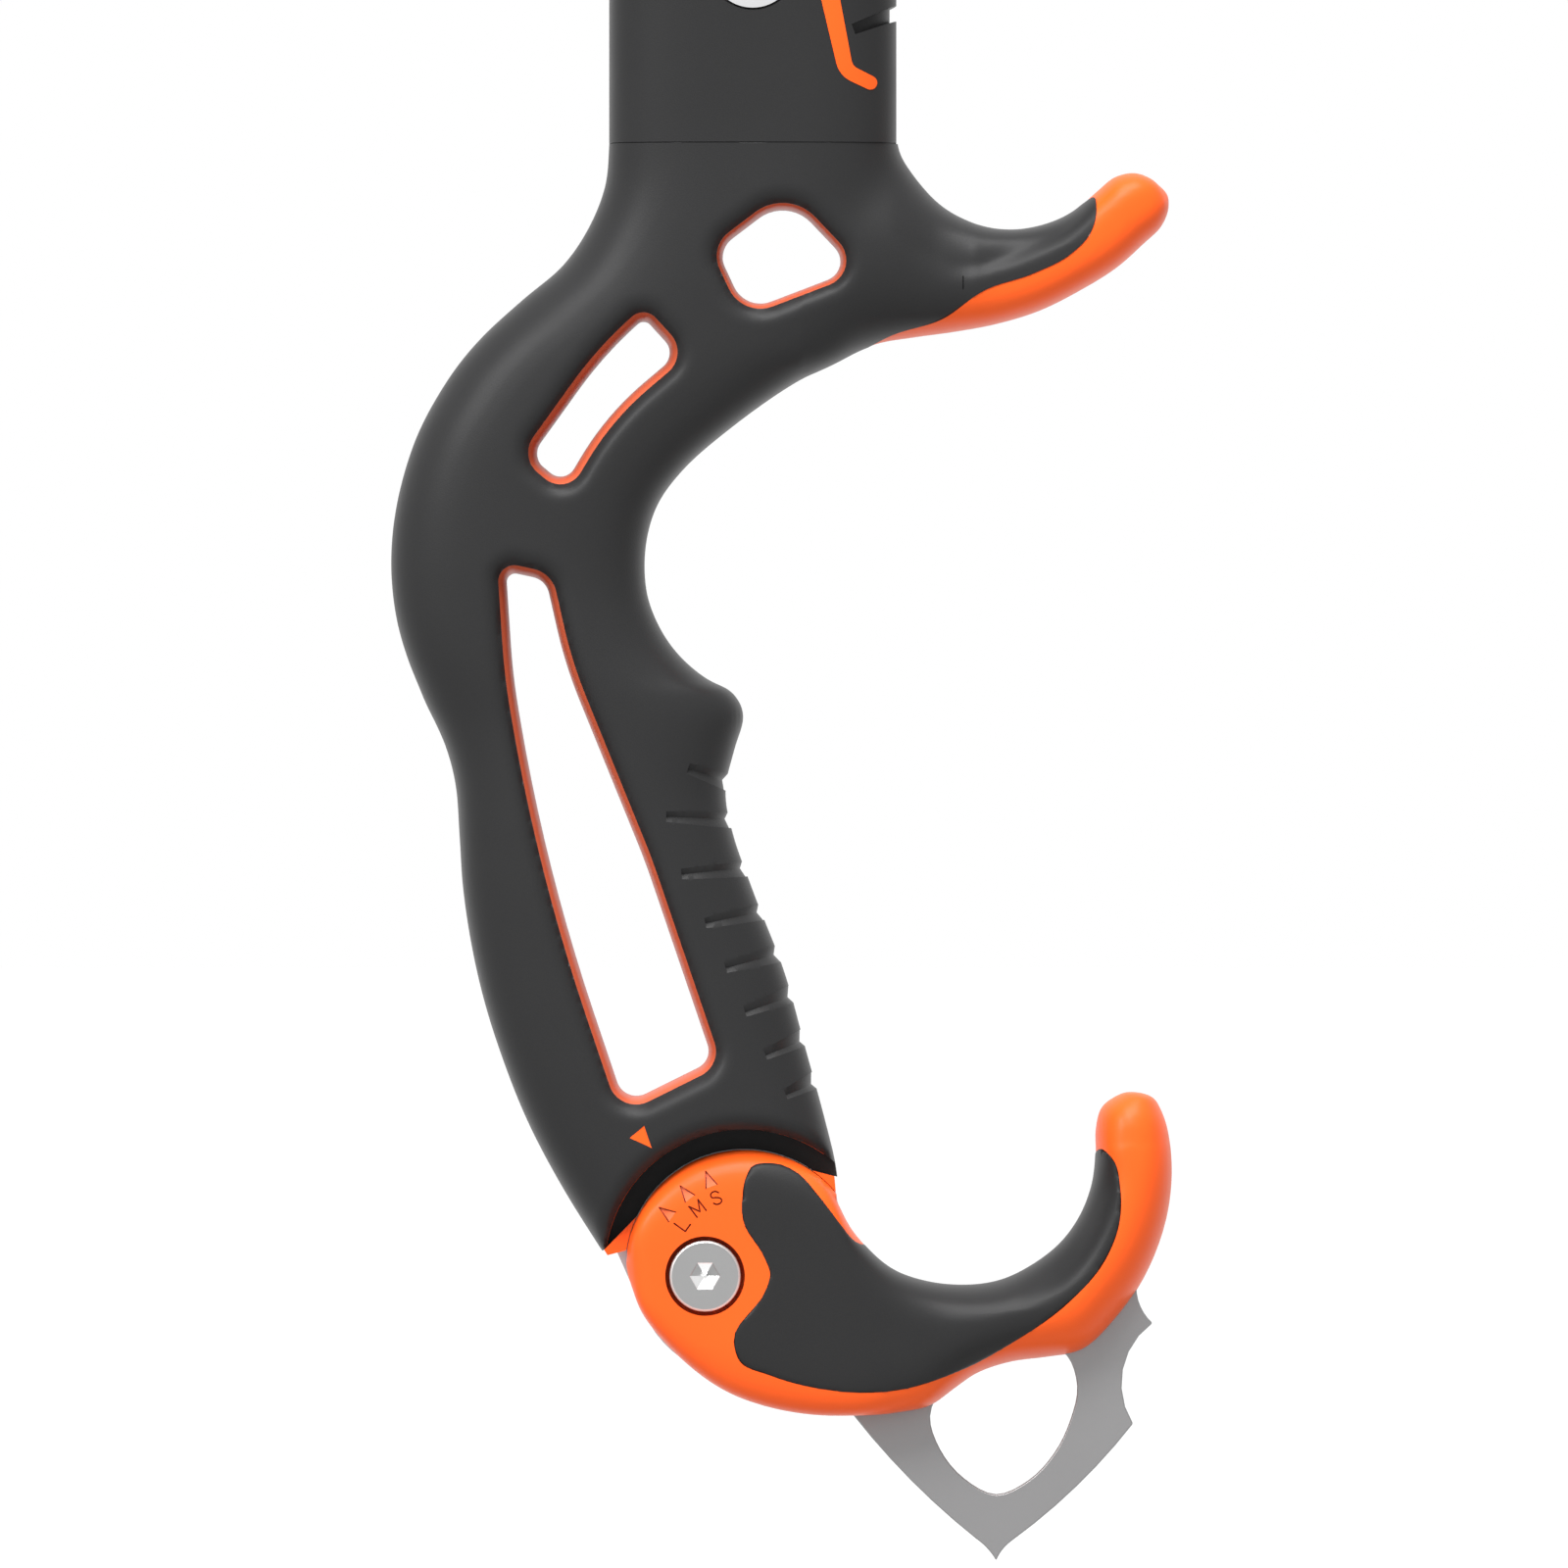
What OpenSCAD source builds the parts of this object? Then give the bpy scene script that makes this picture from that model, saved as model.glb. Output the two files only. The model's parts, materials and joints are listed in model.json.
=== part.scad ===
// Technical ice climbing tool with an offset grip, an upper finger horn and a pommel that turns
// to three hand sizes. Millimetres, +Z up the shaft, +X towards the pick, +Y to the climber's left.
// The origin is the middle of the lower grip, on the plane that the blade and the spike lie in.

/* [Shaft] */
// How far the shaft's axis stands forward of the middle of the grip
shaft_offset = 17; // [15:0.5:19]
// Height of the seam between handle and shaft above the middle of the grip
seam_height = 85; // [83.5:0.5:88]
// Depth of the shaft tube, front to back
tube_depth = 30; // [28:0.5:32]
// Width of the shaft tube, side to side
tube_width = 19; // [17.5:0.5:20.5]
// Wall of the shaft tube
tube_wall = 1.6; // [1.2:0.1:2]
// Straight run of the tube above the seam
lower_run = 112; // [105:1:130]
// Radius of the tube's bend, at its axis
bend_radius = 460; // [400:5:520]
// Angle that the tube bends forward, up to the head
bend_angle = 22; // [18:1:25]

/* [Upper grip] */
// Length of the rubber sleeve above the seam
sleeve_length = 96; // [80:1:120]
// Wall of the rubber sleeve
sleeve_wall = 2; // [1.6:0.1:2.6]
// Height of the lowest groove above the seam
sleeve_groove_start = 14.5; // [12:0.5:24]
// Pitch of the grooves along the sleeve
sleeve_groove_pitch = 9; // [7:0.5:11]
// Number of grooves on the sleeve
sleeve_groove_count = 8; // [2:1:9]
// Width of the orange stripe let into the sleeve
stripe_width = 2.5; // [1.6:0.1:3]
// Depth of the orange stripe
stripe_depth = 0.6; // [0.4:0.1:1]

/* [Handle] */
// Width of the handle at the grip, side to side
handle_width = 24; // [22.5:0.5:26]
// Rubber between the frame's edge and the handle's outline
skin_wall = 2.5; // [2:0.1:3]
// Width of the frame's web, side to side
frame_width = 15; // [13:0.5:16]
// Wall of the collar that lines each window
liner_wall = 0.8; // [0.6:0.1:1.2]
// How far each collar ends below the handle's side
liner_recess = 1.5; // [1.2:0.1:2]
// Thickness of the core plate
core_thickness = 5; // [4:0.5:6]
// Plastic left between the core plate and the outside of each window's collar
core_margin = 1.2; // [0.8:0.1:1.6]
// Depth of the finger grooves
groove_depth = 0.8; // [0.5:0.1:1.1]
// Width of the finger grooves at the front
groove_width = 2.1; // [1.6:0.1:2.6]

/* [Pommel] */
// Forward position of the pommel's turning axis
hub_x = 16; // [14.5:0.5:17]
// Height of the pommel's turning axis, below the middle of the grip
hub_z = -48; // [-50:0.5:-47]
// Radius of the pommel's round knuckle
knuckle_r = 14; // [13.5:0.1:14.5]
// Width of the pommel at the knuckle, side to side
pommel_width = 22; // [20:0.5:24]
// Width of the moat in the handle's sides around the knuckle
moat_width = 2.5; // [2:0.1:3]
// Depth of the moat below the handle's sides
moat_depth = 3; // [2.4:0.1:3.6]
// Gap between the knuckle and the rubber above it
knuckle_gap = 0.6; // [0.5:0.1:0.9]
// Radius of the round hub that turns in the core plate
hub_r = 9; // [8.2:0.1:9.6]
// Running clearance of the hub, on the radius
hub_clearance = 0.05; // [0.02:0.01:0.1]
// Thickness of the rubber pad on the pommel
pad_wall = 1.6; // [1.2:0.1:2]
// Turn from one hand size to the next, in degrees
size_step = 15; // [14:0.5:17]

/* [Spike] */
// Thickness of the spike plate
spike_thickness = 4; // [3:0.5:5]
// Radius of the two pins that hold the spike
spike_pin_r = 1.5; // [1:0.1:2]

/* [Pommel bolt] */
// Distance of the bolt from the turning axis
bolt_offset = 4.7; // [4.4:0.1:5]
// Radius of the bolt's thread
bolt_r = 2.5; // [2:0.1:2.6]
// Radius of the bolt's flat head
bolt_head_r = 4.25; // [4:0.05:4.4]
// Height of the bolt's flat head
bolt_head_h = 3; // [2.5:0.1:3.4]
// Key size of the bolt's hexagon socket
bolt_key = 3.3; // [2.5:0.1:3.6]
// Depth of the bolt's hexagon socket
bolt_key_depth = 2; // [1.5:0.1:2.2]

/* [Rivets] */
// Radius of the handle rivet's head
handle_rivet_head_r = 5.2; // [4.6:0.1:5.6]
// Radius of the handle rivet's shank
handle_rivet_r = 3; // [2.5:0.1:3.5]
// Height of the handle rivet above the seam
handle_rivet_height = 21; // [18:0.5:28]
// Radius of the head rivets' heads
head_rivet_head_r = 4; // [3.4:0.1:4.6]
// Radius of the head rivets' shanks
head_rivet_r = 2.5; // [2:0.1:3]

/* [Head] */
// Width of the head's fork, side to side
fork_width = 16; // [14:0.5:18]
// Thickness of the pick
pick_thickness = 4; // [3:0.5:4.5]
// Length of the pick ahead of the shaft's axis
pick_length = 152; // [140:1:165]
// Pitch of the pick's teeth
tooth_pitch = 6; // [5:0.5:8]
// Depth of the pick's teeth
tooth_depth = 2.2; // [1.5:0.1:3]
// Radius of the pick's clip hole
clip_hole_r = 6; // [5:0.25:6.5]
// Radius of the pick bolt's thread
pick_bolt_r = 4; // [3:0.25:4.5]
// Radius of the hammer bolt's thread
hammer_bolt_r = 3; // [2.5:0.25:3.5]
// Width of the hammer's head, side to side
hammer_width = 18; // [14:0.5:22]
// Length of the hammer behind the shaft's axis
hammer_length = 46; // [40:1:55]

/* [Hidden] */

$fn = 64;

// Colours
rubber = "#3c3c3c";
orange = "#f2652e";
steel = "#929090";
bright_steel = "#a8a8a8";
shaft_grey = "#4a4d50";
aluminium = "#a1a0a5";

// Clearances
fit = 0.1;
gap = 0.3;
far = 40;

// Counts for curves
ring_sides = 24;
tube_sides = 40;
rib_steps = 2;
arc_steps = 6;

// Roundness of the sections: 2 is an ellipse, and a larger number is squarer
grip_power = 3.2;
pommel_power = 4;

// Sizes that follow from the driving dimensions
sleeve_depth = tube_depth + 2 * sleeve_wall;
sleeve_width = tube_width + 2 * sleeve_wall;
bore_depth = tube_depth - 2 * tube_wall;
bore_width = tube_width - 2 * tube_wall;
spigot_length = 45;
liner_half = handle_width / 2 - liner_recess;
moat_r = knuckle_r + moat_width;
room_r = knuckle_r + knuckle_gap;
lug_inset = 1;
lug_r = knuckle_r - lug_inset;
lug_clearance = 0.4;
hub = [hub_x, hub_z];
bolt_angle = 190;
bolt_at = hub + bolt_offset * [cos(bolt_angle), sin(bolt_angle)];
nut_wall = 0.9;
nut_barrel_r = bolt_r + nut_wall;
nut_start = 1;
bolt_below = 0.5;
bolt_side_gap = 0.45;
bolt_head_top = pommel_width / 2 - bolt_below;
bolt_seat = bolt_head_top - bolt_head_h;
hub_root = core_thickness / 2 + 1;
rivet_proud = 0.4;
spike_pin_half = 6;
bend_start = seam_height + lower_run;
head_x = shaft_offset + bend_radius * (1 - cos(bend_angle));
head_z = bend_start + bend_radius * sin(bend_angle);

// The handle is drawn for this seam height, and what lies above its middle is stretched with the seam
drawn_seam = 85;
function lift(z) = z > 0 ? z * seam_height / drawn_seam : z;
function lift_points(points) = [for (p = points) [p.x, lift(p.y)]];
function lift_corners(corners) = [for (c = corners) [c.x, lift(c.y), c[2]]];
function lift_ribs(ribs) = [for (r = ribs) [r[0], lift(r[1]), r[2], lift(r[3]), r[4]]];

// The handle's ribs, from the seam down: back point, front point and half width.
// Each is [x, z, x, z, half width].
half = handle_width / 2;
handle_ribs = lift_ribs([
    [shaft_offset - sleeve_depth / 2, drawn_seam, shaft_offset + sleeve_depth / 2, drawn_seam,
        sleeve_width / 2],
    [-0.6, 79.5, 34, 77, sleeve_width / 2 + 0.2],
    [-5.3, 70.8, 32.5, 66, half],
    [-10.2, 66.6, 28.5, 60, half],
    [-15, 62.2, 22.6, 57.1, half],
    [-19.8, 56, 14.4, 51.4, half],
    [-23.2, 49.3, 8.6, 46.3, half],
    [-25.2, 42, 5.4, 41.6, half],
    [-25.8, 35, 4.2, 35.6, half],
    [-25.3, 29.6, 4.8, 30.6, half],
    [-23.8, 24, 8.2, 24.6, half],
    [-22.6, 21, 11.6, 21.7, half],
    [-21.6, 18.6, 14.6, 20.1, half],
    [-20.6, 16.6, 15.9, 17.8, half],
    [-19.3, 13.6, 14.9, 13.6, half],
    [-18.2, 9.4, 13.8, 9, half],
    [-17.7, 3, 14.6, 3.6, half],
    [-17.3, -3, 16.9, -3, half],
    [-15.3, -14.4, 20.9, -13.4, half],
    [-12.9, -22.4, 23.2, -21.8, half],
    [-9, -32, 25.6, -30.6, half],
    [-5.2, -39, 26.8, -35.6, half],
    [-0.5, -46.5, 27.2, -39.2, half]
]);

// The same with the first rib repeated above the seam, for what lies under the rubber
inner_ribs = concat([handle_ribs[0] + [0, 3, 0, 3, 0]], handle_ribs);

// The horn's ribs, from inside the handle out to the tip: lower point, upper point, half width.
horn_ribs = lift_ribs([
    [20, 61, 27, 82, 10],
    [27.4, 59.6, 34, 83.8, 11],
    [31.5, 61.2, 36.1, 81.3, 10.6],
    [36, 62, 39.2, 77.8, 10],
    [41, 62.7, 43.6, 75.5, 9.6],
    [45.8, 63.6, 47.4, 74.9, 9.4],
    [51, 65.2, 51.4, 75.5, 9.2],
    [55.8, 67.6, 54.8, 77, 9],
    [60.4, 70.5, 57.8, 79.6, 8.6],
    [63.4, 73.2, 60, 81.3, 8.2],
    [65.3, 75, 62.2, 81.7, 7.4],
    [66.2, 76.9, 64.1, 81, 6],
    [66.3, 78.3, 65.3, 79.9, 3.6]
]);

// Where the rubber ends on the horn, seen from the side; the rest of the horn is bare orange frame
horn_edge = lift_points([
    [30.6, 58.6], [33.6, 62], [38.8, 63.9], [44.4, 67.6], [50.2, 69.6], [54.6, 71.9], [56.9, 74.4],
    [57.5, 77], [56, 82]
]);
horn_tip_room = lift_points([[60, 88], [74, 84], [74, 66], [52, 54], [34, 54]]);

// The windows as the rubber shows them: corners [x, z, radius].
upper_window = [[21.1, 79.7, 5.3], [11.9, 72.7, 3.5], [15.8, 64.3, 4.1], [30.4, 69.9, 3.1]];
middle_window = [
    [4.2, 65.8, 2], [-1.4, 60.7, 49], [-10.6, 47.9, 3.1], [-5, 43.2, 2.8], [0.4, 52.3, 34],
    [9.5, 60, 3.1]
];
long_window = [
    [-13.2, 35.6, 1.9], [-12.3, 21.9, 80], [-8.4, -1.1, 228], [1.3, -29.9, 3.3], [13.4, -23.9, 3.2],
    [5.1, 0.5, 88], [-4.3, 23.6, 54], [-6.7, 34.2, 3.5]
];
windows = [for (w = [upper_window, middle_window, long_window]) lift_corners(w)];

// The pointer on the handle that shows the chosen hand size.
pointer_outline = [[2.5, -32.5], [4.2, -31], [5.1, -33.7]];

// Where the rubber ends at the handle's foot, behind and in front of the knuckle
foot_cuts = [
    [[-4, -49.2], [-0.6, -45.8], [4.2, -40.9], [8, -50]],
    [[20, -35.3], [24.1, -36.4], [32, -38.5], [32, -46], [20, -46]]
];
// Where the frame's lips join its web, under the rubber
lip_roots = [
    [[-7, -37], [1.5, -37], [1.5, -46], [-7, -46]],
    [[23, -29], [30, -29], [30, -37.5], [23, -37.5]]
];
lip_inset = 0.4;
pointer_recess = 0.6;
recess_skin = 0.8;
// How far the horn's core and the pointers' roots lie inside the web's sides
web_step = 1;

// The neck that carries the core plate's lug: its two angles on the lug, and where it joins the plate
neck_front = 60;
neck_back = 204;
neck_spare = 4;
neck_steps = 12;
neck_roots = [[20.5, -29.5], [4, -33.5], [-1.5, -40.5]];

// Finger grooves on the handle: front point, back point.
grip_grooves = [for (g = [
    [[14.8, 9.4], [9.4, 11.2]], [[15.4, 5.2], [6.8, 5.5]], [[17.2, -0.4], [8.6, -1.3]],
    [[19.4, -5.4], [11.4, -7.1]], [[21.3, -10.3], [13.8, -12.4]], [[22.9, -15.2], [16.1, -17.6]],
    [[24.4, -20.3], [18.5, -22.7]], [[25.8, -25.3], [20.9, -27.4]]
]) lift_points(g)];
sleeve_groove_run = [[-4.6, -2.4], [1.5, 0.8]];

// The stripe's way from its foot up, ahead of the shaft's axis and above the seam.
// Below the sleeve's top it turns to the front in the same way.
stripe_foot = [13.9, 7.1];
stripe_turn = [11, 8.5];
stripe_rise = [7.7, 24];

// The pommel's ribs about its turning axis: outer point, inner point, half width.
pommel_half = pommel_width / 2;
function on_knuckle(angle) = knuckle_r * [cos(angle), sin(angle)];
function knuckle_rib(angle, outer, half_width) = concat(outer, on_knuckle(angle), [half_width]);
pommel_ribs = [
    knuckle_rib(177, [-13.7, -1], pommel_half - 3),
    knuckle_rib(160, [-12, -5.4], pommel_half - 0.6),
    knuckle_rib(138, [-7.2, -10.9], pommel_half),
    knuckle_rib(115, [-2.4, -14.4], pommel_half),
    knuckle_rib(92, [2.5, -16.3], pommel_half),
    knuckle_rib(70, [8, -17.3], pommel_half),
    knuckle_rib(48, [13.5, -17.4], pommel_half),
    [18.5, -17, 13.1, 4, pommel_half - 0.2],
    [22.3, -16.1, 17.7, -0.3, pommel_half - 0.5],
    [24.8, -14.3, 21.8, -1.7, pommel_half - 0.8],
    [27.6, -12.4, 26, -2.1, pommel_half - 1],
    [31.5, -11.1, 30, -1.6, pommel_half - 1.2],
    [36, -10.5, 33.6, 0, pommel_half - 1.4],
    [40, -9.7, 36.8, 2.3, pommel_half - 1.6],
    [44.2, -5.7, 39.4, 5.5, pommel_half - 1.8],
    [47.6, -0.6, 41, 9.2, pommel_half - 2],
    [50, 6, 41.6, 13, pommel_half - 2.2],
    [50.6, 12.3, 41.6, 16.8, pommel_half - 2.6],
    [50, 17, 42.4, 19.3, pommel_half - 3.4],
    [48.8, 19.9, 44.6, 20.7, pommel_half - 5.5]
];

// The rubber pad on the pommel, seen from the side, about the turning axis.
pad_outline = [
    [0.2, 11], [0.9, 12.2], [2.8, 12.5], [5.2, 11.4], [8.4, 8.6], [11.4, 5], [13, 3.2], [16, 2.6],
    [26, 2], [36, 6], [40.4, 12], [42.2, 14.2], [43.6, 13], [44.5, 9.5], [44.3, 5], [42.7, 1],
    [38.4, -4], [32, -8.6], [25, -12.3], [18, -14.4], [9, -14.2], [3, -12.6], [-0.6, -10.9],
    [-1.3, -8.6], [2.6, -2.2], [3, -0.6], [2.4, 1.2], [-0.2, 5.8], [-0.3, 8]
];

// The spike about the turning axis.
spike_tooth_1 = [48.3, -6.5];
spike_tooth_2 = [46, -18.4];
spike_tip = [29.8, -34.6];
spike_front = [46.4, -2.2];
spike_heel = [12.9, -17.4];
spike_shoulders = [[1.8, 2.3], [-2.4, 2.6]];
spike_root = [[10, -14.2], [14.4, -6.6], [20, -5.4], [28, -6], [36, -3.6], [41, 1.6]];
spike_eye = [
    [22, -17.5], [23.2, -21.5], [26, -24.9], [29.8, -26.8], [33.7, -25.1], [36.7, -21.9],
    [38.6, -18], [39.4, -14], [38.2, -10.4], [34, -8.4], [28, -10.4], [23.6, -13.8]
];
spike_pin_at = [[17.4, -9.6], [41.2, -2.2]];

// Stations of the head, about the tube's upper end: ahead of the shaft's axis and up it.
// The spigot's length is an angle of the bend.
head_spigot = 4.2;
head_root = 0.4;
head_collar = 6;
slot_floor = 9;
fork_outline = [
    [-14, 0, 1], [14, 0, 1], [18, 12, 8], [19, 30, 6], [12, 37, 7], [-10, 37, 8], [-18, 27, 8],
    [-17, 10, 8]
];
pick_bolt_at = [8, 21];
hammer_bolt_at = [-10, 21];
clip_hole_at = [31, 22];
head_split = -3;
bolt_cap_h = 5;
bolt_cap_ratio = 1.6;
bolt_key_ratio = 1.5;
nut_key_ratio = 3.2;
nut_h = 4;
head_rivet_at = [for (a = [1.4, 3.2]) bend_radius * [1 - cos(a), -sin(a)]];
head_rivet_h = 1.2;

// The pick's lower edge: its tip, where the tip's flat ends and where the teeth end
pick_tip = [pick_length, -10];
pick_flat = [5, 0.2];
teeth_end = [64, 10];
tooth_lean = 0.3;
pick_back = [[42, 34], [44, 33.6]];
pick_throat = 24;

// The hammer's tang in the slot, and its block from the fork back
tang_back = -22;
tang_top = 33;
block_front = -19.5;
block_neck = 14;
block_face = 8;

// Curves

function span(p, i) = norm(p[i + 1] - p[i]);

function tangent(p, i) =
    i == 0 ? (p[1] - p[0]) / span(p, 0) :
    i == len(p) - 1 ? (p[i] - p[i - 1]) / span(p, i - 1) :
    let(a = span(p, i - 1), b = span(p, i))
    ((p[i + 1] - p[i]) * a / b + (p[i] - p[i - 1]) * b / a) / (a + b);

function hermite(p, i, t) =
    let(h = span(p, i), s = t * t, c = t * t * t)
    (2 * c - 3 * s + 1) * p[i] + (c - 2 * s + t) * h * tangent(p, i)
        + (3 * s - 2 * c) * p[i + 1] + (c - s) * h * tangent(p, i + 1);

// A smooth open curve through points of any dimension
function smooth(p, steps) = concat(
    [for (i = [0 : len(p) - 2]) for (j = [0 : steps - 1]) hermite(p, i, j / steps)],
    [p[len(p) - 1]]
);

// A smooth closed curve: two points are repeated at each end, and the repeats are dropped
function smooth_loop(p, steps) =
    let(n = len(p), w = concat([p[n - 2], p[n - 1]], p, [p[0], p[1]]))
    [for (i = [2 : n + 1]) for (j = [0 : steps - 1]) hermite(w, i, j / steps)];

function unit(v) = v / norm(v);

function turn(v, angle) = [v.x * cos(angle) - v.y * sin(angle), v.x * sin(angle) + v.y * cos(angle)];

// One corner [x, z, radius] of a polygon as an arc
function corner(before, at, after, steps) =
    let(
        p = [at.x, at.y],
        a = unit([before.x, before.y] - p),
        b = unit([after.x, after.y] - p),
        half_angle = acos(a * b) / 2,
        side = sign(cross(a, b)),
        centre = p + unit(a + b) * at[2] / sin(half_angle),
        start = p + a * at[2] / tan(half_angle) - centre,
        sweep = -side * (180 - 2 * half_angle)
    )
    [for (k = [0 : steps]) centre + turn(start, sweep * k / steps)];

// A polygon with each corner rounded to its own radius
function rounded(corners, steps = arc_steps) =
    let(n = len(corners))
    [for (i = [0 : n - 1])
        each corner(corners[(i + n - 1) % n], corners[i], corners[(i + 1) % n], steps)];

// An arc from p to q that rises to the left of the way by rise
function arc(p, q, rise, steps = arc_steps) =
    let(
        chord = norm(q - p),
        along = unit(q - p),
        left = [-along.y, along.x],
        r = (chord * chord / 4 + rise * rise) / (2 * abs(rise)),
        centre = (p + q) / 2 + left * (rise - sign(rise) * r),
        sweep = -sign(rise) * 2 * asin(min(1, chord / (2 * r)))
    )
    [for (k = [0 : steps]) centre + turn(p - centre, sweep * k / steps)];

// A closed outline moved inwards by d; a negative d moves it outwards
function outline_area(p) =
    let(n = len(p)) [for (i = [0 : n - 1]) cross(p[i], p[(i + 1) % n])] * [for (i = [1 : n]) 0.5];

function inset(p, d) =
    let(n = len(p), s = sign(outline_area(p)))
    [for (i = [0 : n - 1])
        let(along = unit(p[(i + 1) % n] - p[(i + n - 1) % n]))
        p[i] + s * d * [-along.y, along.x]];

function moved(p, by) = [for (q = p) q + by];

// Sections and lofts

function squash(v, power) = sign(v) * pow(abs(v), 2 / power);

// A squared ellipse, depth by width
function section(depth, width, power, sides) =
    [for (k = [0 : sides - 1])
        let(a = 360 * (k + 0.5) / sides)
        [depth / 2 * squash(cos(a), power), width / 2 * squash(sin(a), power)]];

// A rib drawn in by d at both ends and on both sides
function drawn_in(rib, d) =
    let(e = unit([rib[2] - rib[0], rib[3] - rib[1]]) * d)
    [rib[0] + e.x, rib[1] + e.y, rib[2] - e.x, rib[3] - e.y, rib[4] - d];

function ribs_in(ribs, d) = [for (r = ribs) drawn_in(r, d)];

function some_ribs(ribs, first, last) = [for (i = [first : last]) ribs[i]];

function ring(rib, power) =
    let(
        middle = [rib[0] + rib[2], rib[1] + rib[3]] / 2,
        reach = [rib[2] - rib[0], rib[3] - rib[1]] / 2
    )
    [for (q = section(2, 2, power, ring_sides))
        [middle.x + reach.x * q.x, rib[4] * q.y, middle.y + reach.y * q.x]];

// A closed solid through the ribs
module loft(ribs, power) {
    stations = smooth(ribs, rib_steps);
    last = len(stations) - 1;
    points = [for (s = stations) each ring(s, power)];
    sides = [for (i = [0 : last - 1]) for (k = [0 : ring_sides - 1])
        let(a = i * ring_sides + k, b = i * ring_sides + (k + 1) % ring_sides)
        each [[a, b, b + ring_sides], [a, b + ring_sides, a + ring_sides]]];
    first_cap = [for (k = [ring_sides - 1 : -1 : 0]) k];
    last_cap = [for (k = [0 : ring_sides - 1]) last * ring_sides + k];
    polyhedron(points, concat(sides, [first_cap, last_cap]));
}

// The ribs' outline seen from the side
function ribs_outline(ribs) =
    let(s = smooth(ribs, rib_steps), n = len(s))
    concat([for (r = s) [r[0], r[1]]], [for (i = [n - 1 : -1 : 0]) [s[i][2], s[i][3]]]);

// A side outline made solid between two widths
module slab(outline, y_low, y_high) {
    translate([0, y_high, 0])
        rotate([90, 0, 0])
            linear_extrude(height = y_high - y_low)
                polygon(outline);
}

module plate(outline, half_width) {
    slab(outline, -half_width, half_width);
}

// A round bar across the tool
module bar(at, r, y_low, y_high) {
    translate([at.x, y_high, at.y])
        rotate([90, 0, 0])
            cylinder(r = r, h = y_high - y_low);
}

// A hexagonal bar across the tool, with its key size across the flats
module hex_bar(at, key, y_low, y_high) {
    translate([at.x, y_high, at.y])
        rotate([90, 0, 0])
            cylinder(r = key / sqrt(3), h = y_high - y_low, $fn = 6);
}

module upright(at_z, h, outline) {
    translate([shaft_offset, 0, at_z])
        linear_extrude(height = h)
            polygon(outline);
}

module at_hub() {
    translate([hub.x, 0, hub.y])
        children();
}

module at_head() {
    translate([head_x, 0, head_z])
        rotate([0, bend_angle, 0])
            children();
}

// Shaft and upper grip

module shaft_run(outline, over = 0) {
    upright(seam_height - over, lower_run + over, outline);
    translate([shaft_offset + bend_radius, 0, bend_start])
        bend(outline, 0, -bend_angle - over);
}

// A stretch of the bend about its centre, by angles down from level
module bend(outline, from, to) {
    rotate([90, 0, 0])
        rotate_extrude(angle = to - from, start = 180 + from)
            translate([bend_radius, 0])
                polygon(outline);
}

module shaft_tube() {
    color(shaft_grey)
        difference() {
            shaft_run(tube_section());
            shaft_run(bore_section(0), 1);
            bar([shaft_offset, seam_height + handle_rivet_height], handle_rivet_r, -far, far);
            at_head()
                for (p = head_rivet_at)
                    bar(p, head_rivet_r, -far, far);
        }
}

function tube_section() = section(tube_depth, tube_width, grip_power, tube_sides);

function bore_section(clear) =
    section(bore_depth - 2 * clear, bore_width - 2 * clear, grip_power, tube_sides);

function sleeve_section(depth_in) =
    section(sleeve_depth - 2 * depth_in, sleeve_width - 2 * depth_in, grip_power, tube_sides);

module sleeve_groove_bars() {
    front = shaft_offset + sleeve_depth / 2;
    for (i = [0 : sleeve_groove_count - 1]) {
        z = seam_height + sleeve_groove_start + i * sleeve_groove_pitch;
        groove_bar([front + sleeve_groove_run[1].x, z + sleeve_groove_run[1].y],
            [front + sleeve_groove_run[0].x, z + sleeve_groove_run[0].y]);
    }
}

// One finger groove as a bar that narrows towards its back end
module groove_bar(front, back) {
    along = unit(front - back);
    across = [-along.y, along.x];
    wide = groove_width / 2;
    slim = groove_width / 3;
    plate([front + across * wide, back + across * slim, back - across * slim, front - across * wide],
        far);
}

module stripe_band() {
    foot = [shaft_offset, seam_height];
    top = foot + [0, sleeve_length];
    path = [foot + stripe_foot, foot + stripe_turn, foot + stripe_rise,
        top + [stripe_rise.x, -stripe_rise.y], top + [stripe_turn.x, -stripe_turn.y]];
    for (i = [0 : len(path) - 2]) {
        along = unit(path[i + 1] - path[i]);
        across = [-along.y, along.x] * stripe_width / 2;
        slab([path[i] + across, path[i + 1] + across, path[i + 1] - across, path[i] - across],
            0, far);
        bar(path[i], stripe_width / 2, 0, far);
    }
    bar(path[len(path) - 1], stripe_width / 2, 0, far);
}

module stripe() {
    intersection() {
        difference() {
            upright(seam_height, sleeve_length, sleeve_section(0));
            upright(seam_height - 1, sleeve_length + 2, sleeve_section(stripe_depth));
        }
        stripe_band();
    }
}

module shaft_sleeve() {
    color(rubber)
        difference() {
            upright(seam_height, sleeve_length, sleeve_section(0));
            upright(seam_height - 1, sleeve_length + 2, tube_section());
            bar([shaft_offset, seam_height + handle_rivet_height], handle_rivet_head_r + fit, -far, far);
            difference() {
                sleeve_groove_bars();
                upright(seam_height - 1, sleeve_length + 2, sleeve_section(groove_depth));
            }
            stripe();
            mirror([0, 1, 0])
                stripe();
        }
}

module stripe_left() {
    color(orange)
        stripe();
}

module stripe_right() {
    color(orange)
        mirror([0, 1, 0])
            stripe();
}

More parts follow.
